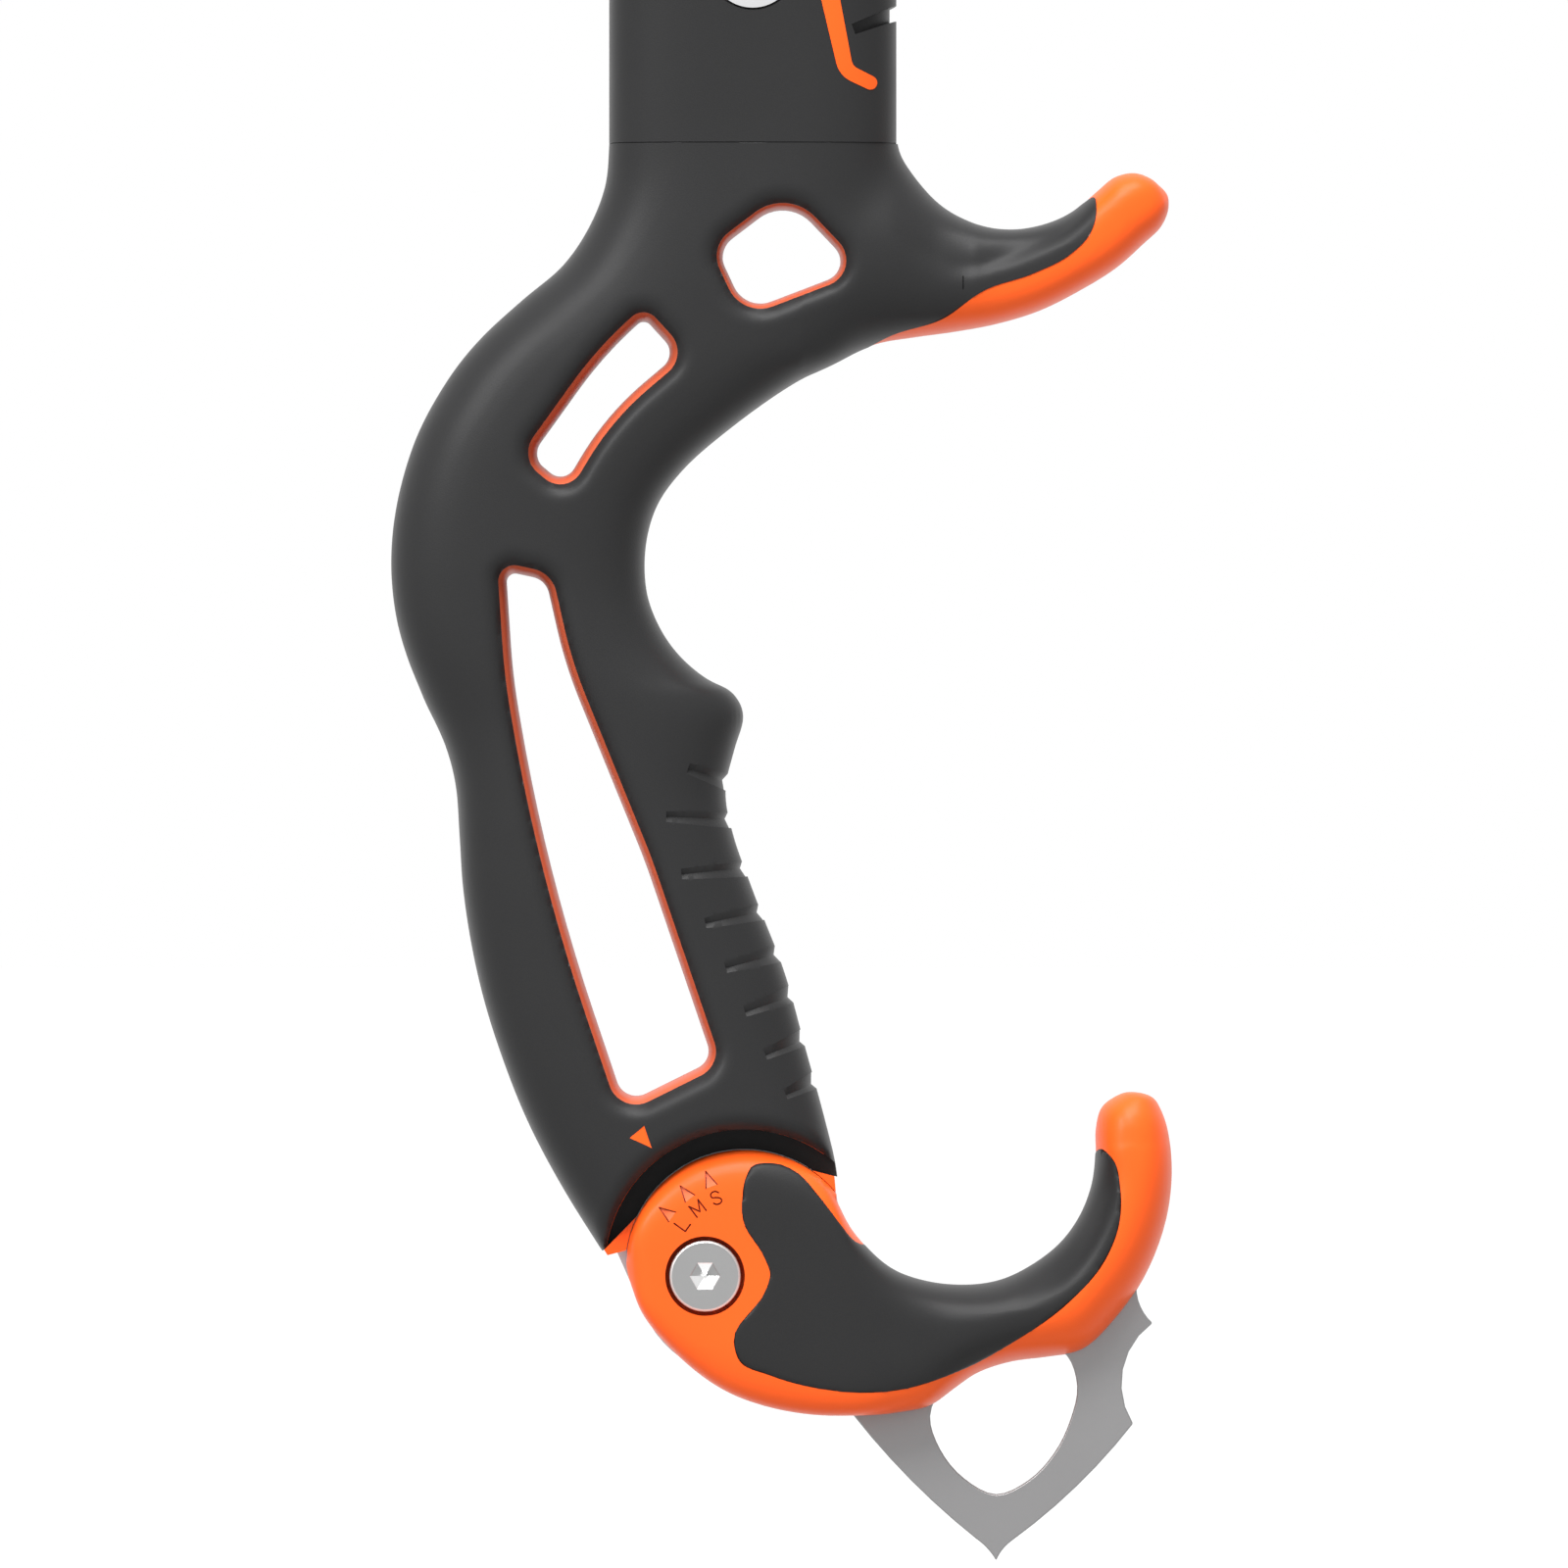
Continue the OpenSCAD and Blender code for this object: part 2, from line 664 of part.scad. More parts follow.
module handle_rivet() {
    at = [shaft_offset, seam_height + handle_rivet_height];
    shank = tube_width / 2;
    head = sleeve_wall + rivet_proud;
    color(bright_steel) {
        bar(at, handle_rivet_r - fit / 2, -shank, shank);
        bar(at, handle_rivet_head_r, shank, shank + head);
        bar(at, handle_rivet_head_r, -shank - head, -shank);
    }
}

// Handle

function window_outline(window, d) = inset(rounded(window), d);

module window_cuts(d) {
    for (w = windows)
        plate(window_outline(w, d), far);
}

module handle_body() {
    loft(handle_ribs, grip_power);
    loft(horn_ribs, grip_power);
}

module horn_tip_prism() {
    plate(concat(smooth(horn_edge, 3), horn_tip_room), far);
}

// The room that the pommel's knuckle turns in
module knuckle_room(skin) {
    bar(hub, room_r + skin, -far, far);
}

// The moat around the knuckle in both sides of the handle
module moat() {
    for (y = [-far, half - moat_depth])
        bar(hub, moat_r, y, y + far - half + moat_depth);
}

// The frame's lips reach in to the knuckle at both ends of the handle's foot
module lips() {
    difference() {
        intersection() {
            plate(ribs_outline(ribs_in(inner_ribs, lip_inset)), frame_width / 2 - gap);
            union() {
                skin_foot_cut();
                for (z = lip_roots)
                    plate(z, far);
            }
        }
        knuckle_room(0);
    }
}

// The frame under the rubber: a web along the handle, a core for the horn and the lips
module frame_web() {
    difference() {
        plate(ribs_outline(ribs_in(inner_ribs, skin_wall)), frame_width / 2);
        knuckle_room(recess_skin);
    }
    plate(ribs_outline(ribs_in(some_ribs(horn_ribs, 0, 8), skin_wall)), frame_width / 2 - web_step);
    lips();
}

module pointers(top) {
    root = frame_width / 2 - web_step;
    slab(pointer_outline, root, top);
    slab(pointer_outline, -top, -root);
}

module above_seam() {
    translate([-far, -far, seam_height])
        cube([3 * far, 2 * far, far]);
}

module handle_frame() {
    color(orange)
        difference() {
            union() {
                frame_web();
                for (w = windows)
                    plate(window_outline(w, 0), liner_half);
                pointers(half - pointer_recess);
                intersection() {
                    loft(horn_ribs, grip_power);
                    horn_tip_prism();
                }
            }
            window_cuts(liner_wall);
            core_solid();
            above_seam();
        }
}

module grip_skin() {
    color(rubber)
        difference() {
            handle_body();
            frame_web();
            pointers(far);
            horn_tip_prism();
            window_cuts(0);
            knuckle_room(0);
            moat();
            skin_foot_cut();
            plate(lug_neck(), core_thickness / 2);
            difference() {
                for (g = grip_grooves)
                    groove_bar(g[0] + unit(g[0] - g[1]), g[1]);
                loft(ribs_in(handle_ribs, groove_depth), grip_power);
            }
        }
}

// The rubber stops short of the frame's lips
module skin_foot_cut() {
    for (f = foot_cuts)
        plate(f, far);
}

// The core plate: spine past the windows, and the round lug for the pommel
module core_solid() {
    difference() {
        union() {
            difference() {
                plate(ribs_outline(ribs_in(inner_ribs, 2 * skin_wall)), core_thickness / 2);
                knuckle_room(moat_width);
            }
            plate(lug_neck(), core_thickness / 2);
            bar(hub, lug_r, -core_thickness / 2, core_thickness / 2);
        }
        window_cuts(-core_margin);
    }
}

// The neck that carries the lug out of the handle
function lug_neck() =
    let(
        back_foot = hub + lug_r * [cos(neck_back), sin(neck_back)],
        front_foot = hub + lug_r * [cos(neck_front), sin(neck_front)]
    )
    concat([back_foot, hub, front_foot], neck_roots);

module handle_core() {
    color(aluminium)
        difference() {
            union() {
                core_solid();
                upright(seam_height, spigot_length, bore_section(fit));
            }
            bar(hub, hub_r + hub_clearance, -far, far);
            bar([shaft_offset, seam_height + handle_rivet_height], handle_rivet_r, -far, far);
        }
}

// Pommel

module pommel_body() {
    at_hub()
        loft(pommel_ribs, pommel_power);
}

// What the rubber pad takes out of the pommel
module pad_layer() {
    difference() {
        plate(moved(smooth_loop(pad_outline, 3), hub), far);
        at_hub()
            loft(ribs_in(some_ribs(pommel_ribs, 2, 17), pad_wall), pommel_power);
    }
}

function spike_outline() =
    let(
        shoulder_1 = spike_tip + spike_shoulders[0],
        shoulder_2 = spike_tip + spike_shoulders[1]
    )
    concat(
        arc(spike_front, spike_tooth_1, -0.5),
        arc(spike_tooth_1, spike_tooth_2, -2.4),
        arc(spike_tooth_2, shoulder_1, 0.7),
        arc(shoulder_1, spike_tip, -0.2),
        arc(spike_tip, shoulder_2, -0.2),
        arc(shoulder_2, spike_heel, 0.6),
        spike_root
    );

module spike_blank(grow) {
    plate(moved(spike_outline(), hub), spike_thickness / 2 + grow);
}

// Free room for the core plate's lug and neck between the pommel's two halves, over the whole turn
module lug_room() {
    half_room = core_thickness / 2 + lug_clearance;
    reach = knuckle_r + lug_r;
    from = neck_front - size_step - neck_spare;
    sweep = neck_back + size_step + neck_spare - from;
    fan = [for (k = [0 : neck_steps])
        let(a = from + sweep * k / neck_steps)
        hub + reach * [cos(a), sin(a)]];
    bar(hub, lug_r + lug_clearance, -half_room, half_room);
    plate(concat([hub], fan), half_room);
}

// A round bar on one side of the tool only, measured outwards from the middle plane
module side_bar(side, at, r, inner, outer) {
    bar(at, r, side > 0 ? inner : -outer, side > 0 ? outer : -inner);
}

module pommel_side(side, bolt_hole_r) {
    room = [[-far, -3 * far], [3 * far, -3 * far], [3 * far, far], [-far, far]];
    color(orange)
        difference() {
            union() {
                difference() {
                    intersection() {
                        pommel_body();
                        slab(room, side > 0 ? 0 : -far, side > 0 ? far : 0);
                    }
                    lug_room();
                    pad_layer();
                    spike_blank(0);
                }
                side_bar(side, hub, hub_r, 0, hub_root);
            }
            bar(bolt_at, bolt_hole_r, -far, far);
            side_bar(side, bolt_at, bolt_head_r + bolt_side_gap, bolt_seat, far);
            at_hub()
                spike_pin_set(fit / 2);
        }
}

module pommel_left() {
    pommel_side(1, nut_barrel_r + fit);
}

module pommel_right() {
    pommel_side(-1, bolt_r + fit);
}

module pommel_pad() {
    color(rubber)
        difference() {
            intersection() {
                pommel_body();
                pad_layer();
            }
            lug_room();
            spike_blank(gap);
        }
}

module spike_pin_set(grow) {
    for (p = spike_pin_at)
        bar(p, spike_pin_r + grow, -spike_pin_half, spike_pin_half);
}

module spike_pins() {
    color(bright_steel)
        at_hub()
            spike_pin_set(0);
}

module spike() {
    color(steel)
        difference() {
            spike_blank(0);
            plate(moved(smooth_loop(spike_eye, 4), hub), far);
            at_hub()
                spike_pin_set(fit / 2);
        }
}

module pommel_bolt() {
    color(bright_steel)
        difference() {
            union() {
                bar(bolt_at, bolt_r, -bolt_seat, bolt_seat - nut_start);
                bar(bolt_at, bolt_head_r, -bolt_head_top, -bolt_seat);
            }
            hex_bar(bolt_at, bolt_key, -far, bolt_key_depth - bolt_head_top);
        }
}

module pommel_nut() {
    color(bright_steel)
        difference() {
            union() {
                bar(bolt_at, nut_barrel_r, nut_start, bolt_seat);
                bar(bolt_at, bolt_head_r, bolt_seat, bolt_head_top);
            }
            bar(bolt_at, bolt_r + fit / 2, 0, bolt_seat);
            hex_bar(bolt_at, bolt_key, bolt_head_top - bolt_key_depth, far);
        }
}

// Head

module head_slot() {
    plate([[-far, slot_floor], [far, slot_floor], [far, 2 * far], [-far, 2 * far]],
        pick_thickness / 2 + fit / 2);
}

module head_block() {
    color(aluminium)
        at_head()
            difference() {
                union() {
                    translate([bend_radius, 0, 0])
                        bend(bore_section(fit), -head_root, head_spigot);
                    linear_extrude(height = head_collar)
                        polygon(tube_section());
                    plate(rounded(fork_outline), fork_width / 2);
                }
                head_slot();
                bar(pick_bolt_at, pick_bolt_r + fit, -far, far);
                bar(hammer_bolt_at, hammer_bolt_r + fit, -far, far);
                for (p = head_rivet_at)
                    bar(p, head_rivet_r, -far, far);
            }
}

module head_rivets() {
    shank = tube_width / 2;
    color(bright_steel)
        at_head()
            for (p = head_rivet_at) {
                bar(p, head_rivet_r - fit / 2, -shank, shank);
                bar(p, head_rivet_head_r, shank, shank + head_rivet_h);
                bar(p, head_rivet_head_r, -shank - head_rivet_h, -shank);
            }
}

// Teeth along the pick's lower edge, from the tip back
function tooth_row() =
    let(
        count = round(norm(pick_tip - teeth_end) / tooth_pitch),
        edge = arc(pick_tip - pick_flat, teeth_end, 2.4, count),
        n = len(edge) - 1
    )
    [for (i = [0 : n - 1])
        let(along = unit(edge[i + 1] - edge[i]), up = [along.y, -along.x])
        each [edge[i], edge[i] + along * tooth_pitch * tooth_lean + up * tooth_depth]];

function pick_outline() = concat(
    arc([head_split, pick_back[0].y], pick_back[0], 1.2),
    arc(pick_back[1], pick_tip, 5, 2 * arc_steps),
    tooth_row(),
    arc(teeth_end, [pick_throat, slot_floor], -3),
    [[head_split, slot_floor]]
);

module pick() {
    color(steel)
        at_head()
            difference() {
                plate(pick_outline(), pick_thickness / 2);
                bar(pick_bolt_at, pick_bolt_r + fit, -far, far);
                bar(clip_hole_at, clip_hole_r, -far, far);
            }
}

// A cap screw and its nut, across the fork
module cap_screw(at, r) {
    cheek = fork_width / 2;
    color(bright_steel)
        at_head()
            difference() {
                union() {
                    bar(at, r, -cheek, cheek + bolt_cap_h);
                    bar(at, bolt_cap_ratio * r, -cheek - bolt_cap_h, -cheek);
                }
                hex_bar(at, bolt_key_ratio * r, -far, -cheek - bolt_cap_h / 2);
            }
}

module hex_nut(at, r) {
    cheek = fork_width / 2;
    color(bright_steel)
        at_head()
            difference() {
                hex_bar(at, nut_key_ratio * r, cheek, cheek + nut_h);
                bar(at, r + fit / 2, 0, far);
            }
}

module pick_bolt() {
    cap_screw(pick_bolt_at, pick_bolt_r);
}

module pick_nut() {
    hex_nut(pick_bolt_at, pick_bolt_r);
}

module hammer_bolt() {
    cap_screw(hammer_bolt_at, hammer_bolt_r);
}

module hammer_nut() {
    hex_nut(hammer_bolt_at, hammer_bolt_r);
}

module hammer() {
    tail = -hammer_length;
    tang_front = head_split - gap;
    low = slot_floor;
    tang = [[tang_front, low], [tang_front, tang_top], [tang_back, tang_top], [tang_back, low]];
    poll = [
        [block_front, low + 1, 2], [block_front, tang_top + 0.5, 3],
        [tail + block_neck, tang_top - 1, 6], [tail + block_face, tang_top + 1, 3],
        [tail, tang_top + 1, 2], [tail, low + 1, 2],
        [tail + block_face, low + 1, 3], [tail + block_neck, low + 3, 6]
    ];
    color(steel)
        at_head()
            difference() {
                union() {
                    plate(tang, pick_thickness / 2);
                    plate(rounded(poll), hammer_width / 2);
                }
                bar(hammer_bolt_at, hammer_bolt_r + fit, -far, far);
            }
}

shaft_tube();
shaft_sleeve();
stripe_left();
stripe_right();
handle_core();
handle_frame();
grip_skin();
handle_rivet();
pommel_left();
pommel_right();
pommel_pad();
spike();
spike_pins();
pommel_bolt();
pommel_nut();
head_block();
head_rivets();
pick();
pick_bolt();
pick_nut();
hammer();
hammer_bolt();
hammer_nut();
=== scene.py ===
"""Looks of an ice climbing tool: rubber grip, orange plastic, steel and aluminium.

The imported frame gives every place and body. This script models the surfaces that show, gives each
piece its finish and sets up a plain white studio. Lengths are written in millimetres and made metres
where a mesh is built.
"""

from __future__ import annotations

import json
import logging
import math
from collections.abc import Callable, Iterable, Sequence
from dataclasses import dataclass, field
from enum import Enum

import bmesh
import bpy
import numpy as np
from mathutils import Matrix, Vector
from mathutils.bvhtree import BVHTree

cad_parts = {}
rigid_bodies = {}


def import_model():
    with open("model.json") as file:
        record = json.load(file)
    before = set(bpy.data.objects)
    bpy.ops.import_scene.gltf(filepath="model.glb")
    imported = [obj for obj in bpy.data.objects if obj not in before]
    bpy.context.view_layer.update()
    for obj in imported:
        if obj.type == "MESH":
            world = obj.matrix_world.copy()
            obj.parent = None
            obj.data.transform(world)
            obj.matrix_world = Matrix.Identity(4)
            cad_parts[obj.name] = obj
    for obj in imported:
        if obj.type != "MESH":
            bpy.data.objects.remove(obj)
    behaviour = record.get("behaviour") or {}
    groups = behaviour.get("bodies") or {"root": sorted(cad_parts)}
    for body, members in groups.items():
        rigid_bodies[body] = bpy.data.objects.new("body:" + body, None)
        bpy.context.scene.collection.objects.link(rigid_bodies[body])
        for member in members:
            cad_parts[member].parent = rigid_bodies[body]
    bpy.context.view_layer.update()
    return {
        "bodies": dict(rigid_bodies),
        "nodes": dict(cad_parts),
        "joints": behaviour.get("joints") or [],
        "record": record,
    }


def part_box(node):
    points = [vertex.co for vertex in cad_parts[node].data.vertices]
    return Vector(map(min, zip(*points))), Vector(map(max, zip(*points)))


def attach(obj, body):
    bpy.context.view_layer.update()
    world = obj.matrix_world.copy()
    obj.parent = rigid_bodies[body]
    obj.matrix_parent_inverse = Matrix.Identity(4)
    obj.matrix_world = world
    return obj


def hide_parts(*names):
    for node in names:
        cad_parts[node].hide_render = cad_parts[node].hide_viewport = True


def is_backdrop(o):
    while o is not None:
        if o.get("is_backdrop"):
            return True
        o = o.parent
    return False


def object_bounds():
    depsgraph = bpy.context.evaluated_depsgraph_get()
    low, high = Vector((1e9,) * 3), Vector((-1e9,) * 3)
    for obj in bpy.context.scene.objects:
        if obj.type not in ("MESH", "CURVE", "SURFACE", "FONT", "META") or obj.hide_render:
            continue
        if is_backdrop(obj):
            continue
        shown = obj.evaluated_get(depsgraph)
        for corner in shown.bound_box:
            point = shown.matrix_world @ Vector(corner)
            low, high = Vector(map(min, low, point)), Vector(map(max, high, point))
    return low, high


LOG = logging.getLogger("ice_tool")
MM = 0.001
# Half length in millimetres of a tool that cuts right through
THROUGH = 25.0
# Steps of a smooth curve from one point to the next
STEPS = 6

Outline = np.ndarray
Rings = list[np.ndarray]
Colour = tuple[float, float, float]


class Cut(Enum):
    """What a boolean does with its tool."""

    AWAY = "DIFFERENCE"
    KEEP = "INTERSECT"


class Side(Enum):
    """The two sides of the tool, as the sign of Y."""

    LEFT = 1
    RIGHT = -1


class Body(Enum):
    """The moving bodies of the frame."""

    TOOL = "tool"
    POMMEL = "pommel"


# Curves


def smooth(points: Sequence[Sequence[float]], steps: int) -> np.ndarray:
    """Draws a smooth open curve through points of any dimension.

    Args:
        points: The points that the curve passes through.
        steps: Number of steps from each point to the next.

    Returns:
        The curve's points, one a row.
    """
    p = np.asarray(points, float)
    move = np.diff(p, axis=0)
    span = np.linalg.norm(move, axis=1, keepdims=True)
    slope = np.empty_like(p)
    slope[0], slope[-1] = move[0] / span[0], move[-1] / span[-1]
    a, b = span[:-1], span[1:]
    slope[1:-1] = (move[1:] * a / b + move[:-1] * b / a) / (a + b)
    t = (np.arange(steps) / steps)[None, :, None]
    start, end = p[:-1, None], p[1:, None]
    leave, arrive = (span * slope[:-1])[:, None], (span * slope[1:])[:, None]
    curve = (
        (2 * t**3 - 3 * t**2 + 1) * start
        + (t**3 - 2 * t**2 + t) * leave
        + (3 * t**2 - 2 * t**3) * end
        + (t**3 - t**2) * arrive
    )
    return np.vstack([curve.reshape(-1, p.shape[1]), p[-1:]])


def smooth_loop(points: Sequence[Sequence[float]], steps: int) -> np.ndarray:
    """Draws a smooth closed curve through points.

    Args:
        points: The points that the curve passes through, in order.
        steps: Number of steps from each point to the next.

    Returns:
        The curve's points, without a repeat at the end.
    """
    p = np.asarray(points, float)
    wrapped = np.vstack([p[-2:], p, p[:2]])
    return smooth(wrapped, steps)[2 * steps : (2 + len(p)) * steps]


def rounded(corners: Sequence[Sequence[float]], steps: int = 10) -> Outline:
    """Rounds each corner of a polygon to its own radius.

    Args:
        corners: Corners as (x, z, radius).
        steps: Number of steps in each arc.

    Returns:
        The outline's points.
    """
    outline = []
    count = len(corners)
    for i, (x, z, radius) in enumerate(corners):
        at = np.array([x, z])
        a = np.array(corners[i - 1][:2]) - at
        b = np.array(corners[(i + 1) % count][:2]) - at
        a, b = a / np.linalg.norm(a), b / np.linalg.norm(b)
        half = math.acos(float(a @ b)) / 2
        middle = (a + b) / np.linalg.norm(a + b)
        centre = at + middle * radius / math.sin(half)
        start = at + a * radius / math.tan(half) - centre
        turn = -math.copysign(math.pi - 2 * half, a[0] * b[1] - a[1] * b[0])
        for k in range(steps + 1):
            c, s = math.cos(turn * k / steps), math.sin(turn * k / steps)
            outline.append(centre + [start[0] * c - start[1] * s, start[0] * s + start[1] * c])
    return np.array(outline)


def inset(outline: Outline, distance: float) -> Outline:
    """Moves a closed outline inwards.

    Args:
        outline: The outline's points.
        distance: How far it moves; a negative distance moves it outwards.

    Returns:
        The moved outline.
    """
    after, before = np.roll(outline, -1, axis=0), np.roll(outline, 1, axis=0)
    area = np.sum(outline[:, 0] * after[:, 1] - outline[:, 1] * after[:, 0])
    along = after - before
    along /= np.linalg.norm(along, axis=1, keepdims=True)
    return outline + math.copysign(distance, area) * np.column_stack([-along[:, 1], along[:, 0]])


def arc(centre: Sequence[float], radius: float, start: float, end: float, steps: int) -> Outline:
    """Draws an arc.

    Args:
        centre: The arc's centre.
        radius: Its radius.
        start: Angle in degrees at which it starts.
        end: Angle in degrees at which it ends.
        steps: Number of steps.

    Returns:
        The arc's points, both ends included.
    """
    angle = np.radians(np.linspace(start, end, steps + 1))
    return np.asarray(centre) + radius * np.column_stack([np.cos(angle), np.sin(angle)])


def distance_to(points: np.ndarray, path: np.ndarray, closed: bool) -> np.ndarray:
    """Measures how far points lie from a path in the side view.

    Args:
        points: Points as (x, z).
        path: The path's points.
        closed: Whether the path's end joins its start. Points inside a closed path count as negative.

    Returns:
        One distance for each point.
    """
    start = path if closed else path[:-1]
    end = np.roll(path, -1, axis=0) if closed else path[1:]
    nearest = np.full(len(points), np.inf)
    inside = np.zeros(len(points), bool)
    for a, b in zip(start, end):
        way = b - a
        t = np.clip((points - a) @ way / max(float(way @ way), 1e-12), 0, 1)
        nearest = np.minimum(nearest, np.linalg.norm(points - a - t[:, None] * way, axis=1))
        if closed and a[1] != b[1]:
            crosses = (a[1] > points[:, 1]) != (b[1] > points[:, 1])
            x = a[0] + (points[:, 1] - a[1]) * way[0] / way[1]
            inside ^= crosses & (points[:, 0] < x)
    return np.where(inside, -nearest, nearest)


def beside(points: np.ndarray, path: np.ndarray) -> np.ndarray:
    """Measures how far points lie to the left of an open path.

    Args:
        points: Points as (x, z).
        path: The path's points.

    Returns:
        One distance for each point, negative to the right of the path.
    """
    nearest = np.full(len(points), np.inf)
    left = np.zeros(len(points))
    for a, b in zip(path[:-1], path[1:]):
        way = b - a
        t = np.clip((points - a) @ way / (way @ way), 0, 1)
        gap = points - a - t[:, None] * way
        away = np.linalg.norm(gap, axis=1)
        closer = away < nearest
        nearest = np.where(closer, away, nearest)
        left = np.where(closer, np.sign(way[0] * gap[:, 1] - way[1] * gap[:, 0]), left)
    return nearest * left


def rounded_way(path: np.ndarray, radius: float) -> np.ndarray:
    """Rounds the inner corners of an open path.

    Args:
        path: The path's points.
        radius: Radius of the corners.

    Returns:
        The path's points with an arc at each inner corner.
    """
    loop = rounded([(*p, radius) for p in path], STEPS).reshape(len(path), STEPS + 1, 2)
    return np.vstack([path[:1], *loop[1:-1], path[-1:]])


def thick_line(path: np.ndarray, width: float | np.ndarray) -> Outline:
    """Gives an open path a width, with round ends.

    Args:
        path: The path's points.
        width: The line's width, or its width at each point.

    Returns:
        The line's outline.
    """
    along = np.gradient(path, axis=0)
    along /= np.linalg.norm(along, axis=1, keepdims=True)
    half = np.broadcast_to(width, len(path))[:, None] / 2
    across = np.column_stack([-along[:, 1], along[:, 0]]) * half

    def cap(centre: np.ndarray, start: np.ndarray) -> np.ndarray:
        """Draws a half circle of a few steps round an end."""
        angle = math.degrees(math.atan2(start[1], start[0]))
        return arc(centre, float(np.linalg.norm(start)), angle, angle - 180, steps=8)[1:-1]

    far, near = cap(path[-1], across[-1]), cap(path[0], -across[0])
    return np.vstack([path + across, far, (path - across)[::-1], near])


def ease(values: np.ndarray, low: float, high: float) -> np.ndarray:
    """Goes smoothly from 0 at low to 1 at high."""
    t = np.clip((values - low) / (high - low), 0, 1)
    return t * t * (3 - 2 * t)


def fillet(away: np.ndarray) -> np.ndarray:
    """Gives a quarter round's drop, nearly 1 at its foot and 0 a whole width away."""
    least = 0.02
    return 1 - np.sqrt(1 - (1 - np.clip(away, least, 1)) ** 2)


def squared(power: float, sides: int) -> np.ndarray:
    """Draws a squared circle of radius 1.

    Args:
        power: 2 is a circle, and a larger number is squarer.
        sides: Number of points.

    Returns:
        Its points.
    """
    angle = 2 * np.pi * (np.arange(sides) + 0.5) / sides
    wave = np.column_stack([np.cos(angle), np.sin(angle)])
    return np.sign(wave) * np.abs(wave) ** (2 / power)


def rib_ring(rib: Sequence[float], power: float, sides: int) -> np.ndarray:
    """Draws one rib's closed section.

    Args:
        rib: The rib as (x, z, x, z, half width), with its own squareness if that differs.
        power: How square the section is.
        sides: Number of points.

    Returns:
        The ring's points as (x, y, z).
    """
    q = squared(rib[5] if len(rib) > 5 else power, sides)
    middle = (np.array(rib[:2]) + np.array(rib[2:4])) / 2
    reach = (np.array(rib[2:4]) - np.array(rib[:2])) / 2
    return stood(middle + q[:, :1] * reach, q[:, 1] * rib[4])


def stood(outline: Outline, y: float | np.ndarray) -> np.ndarray:
    """Stands a side outline at a place across the tool.

    Args:
        outline: Points as (x, z).
        y: The place, for all points or for each.

    Returns:
        The points as (x, y, z).
    """
    return np.column_stack([outline[:, 0], np.broadcast_to(y, len(outline)), outline[:, 1]])


def pressed_in(points: np.ndarray, depth: np.ndarray) -> np.ndarray:
    """Presses a body's sides in, at most half way to the middle plane.

    Args:
        points: The body's points.
        depth: How far each point is pressed in.

    Returns:
        The moved points.
    """
    moved = points.copy()
    moved[:, 1] -= np.sign(points[:, 1]) * np.minimum(depth, np.abs(points[:, 1]) / 2)
    return moved


def drawn_in(ribs: Sequence[Sequence[float]], distance: float) -> list[list[float]]:
    """Draws ribs in at both ends and on both sides.

    Args:
        ribs: Ribs as (x, z, x, z, half width).
        distance: How far they are drawn in.

    Returns:
        The smaller ribs.
    """
    smaller = []
    for x1, z1, x2, z2, half, *rest in ribs:
        length = math.hypot(x2 - x1, z2 - z1)
        ex, ez = (x2 - x1) / length * distance, (z2 - z1) / length * distance
        smaller.append([x1 + ex, z1 + ez, x2 - ex, z2 - ez, half - distance, *rest])
    return smaller


# Modelling


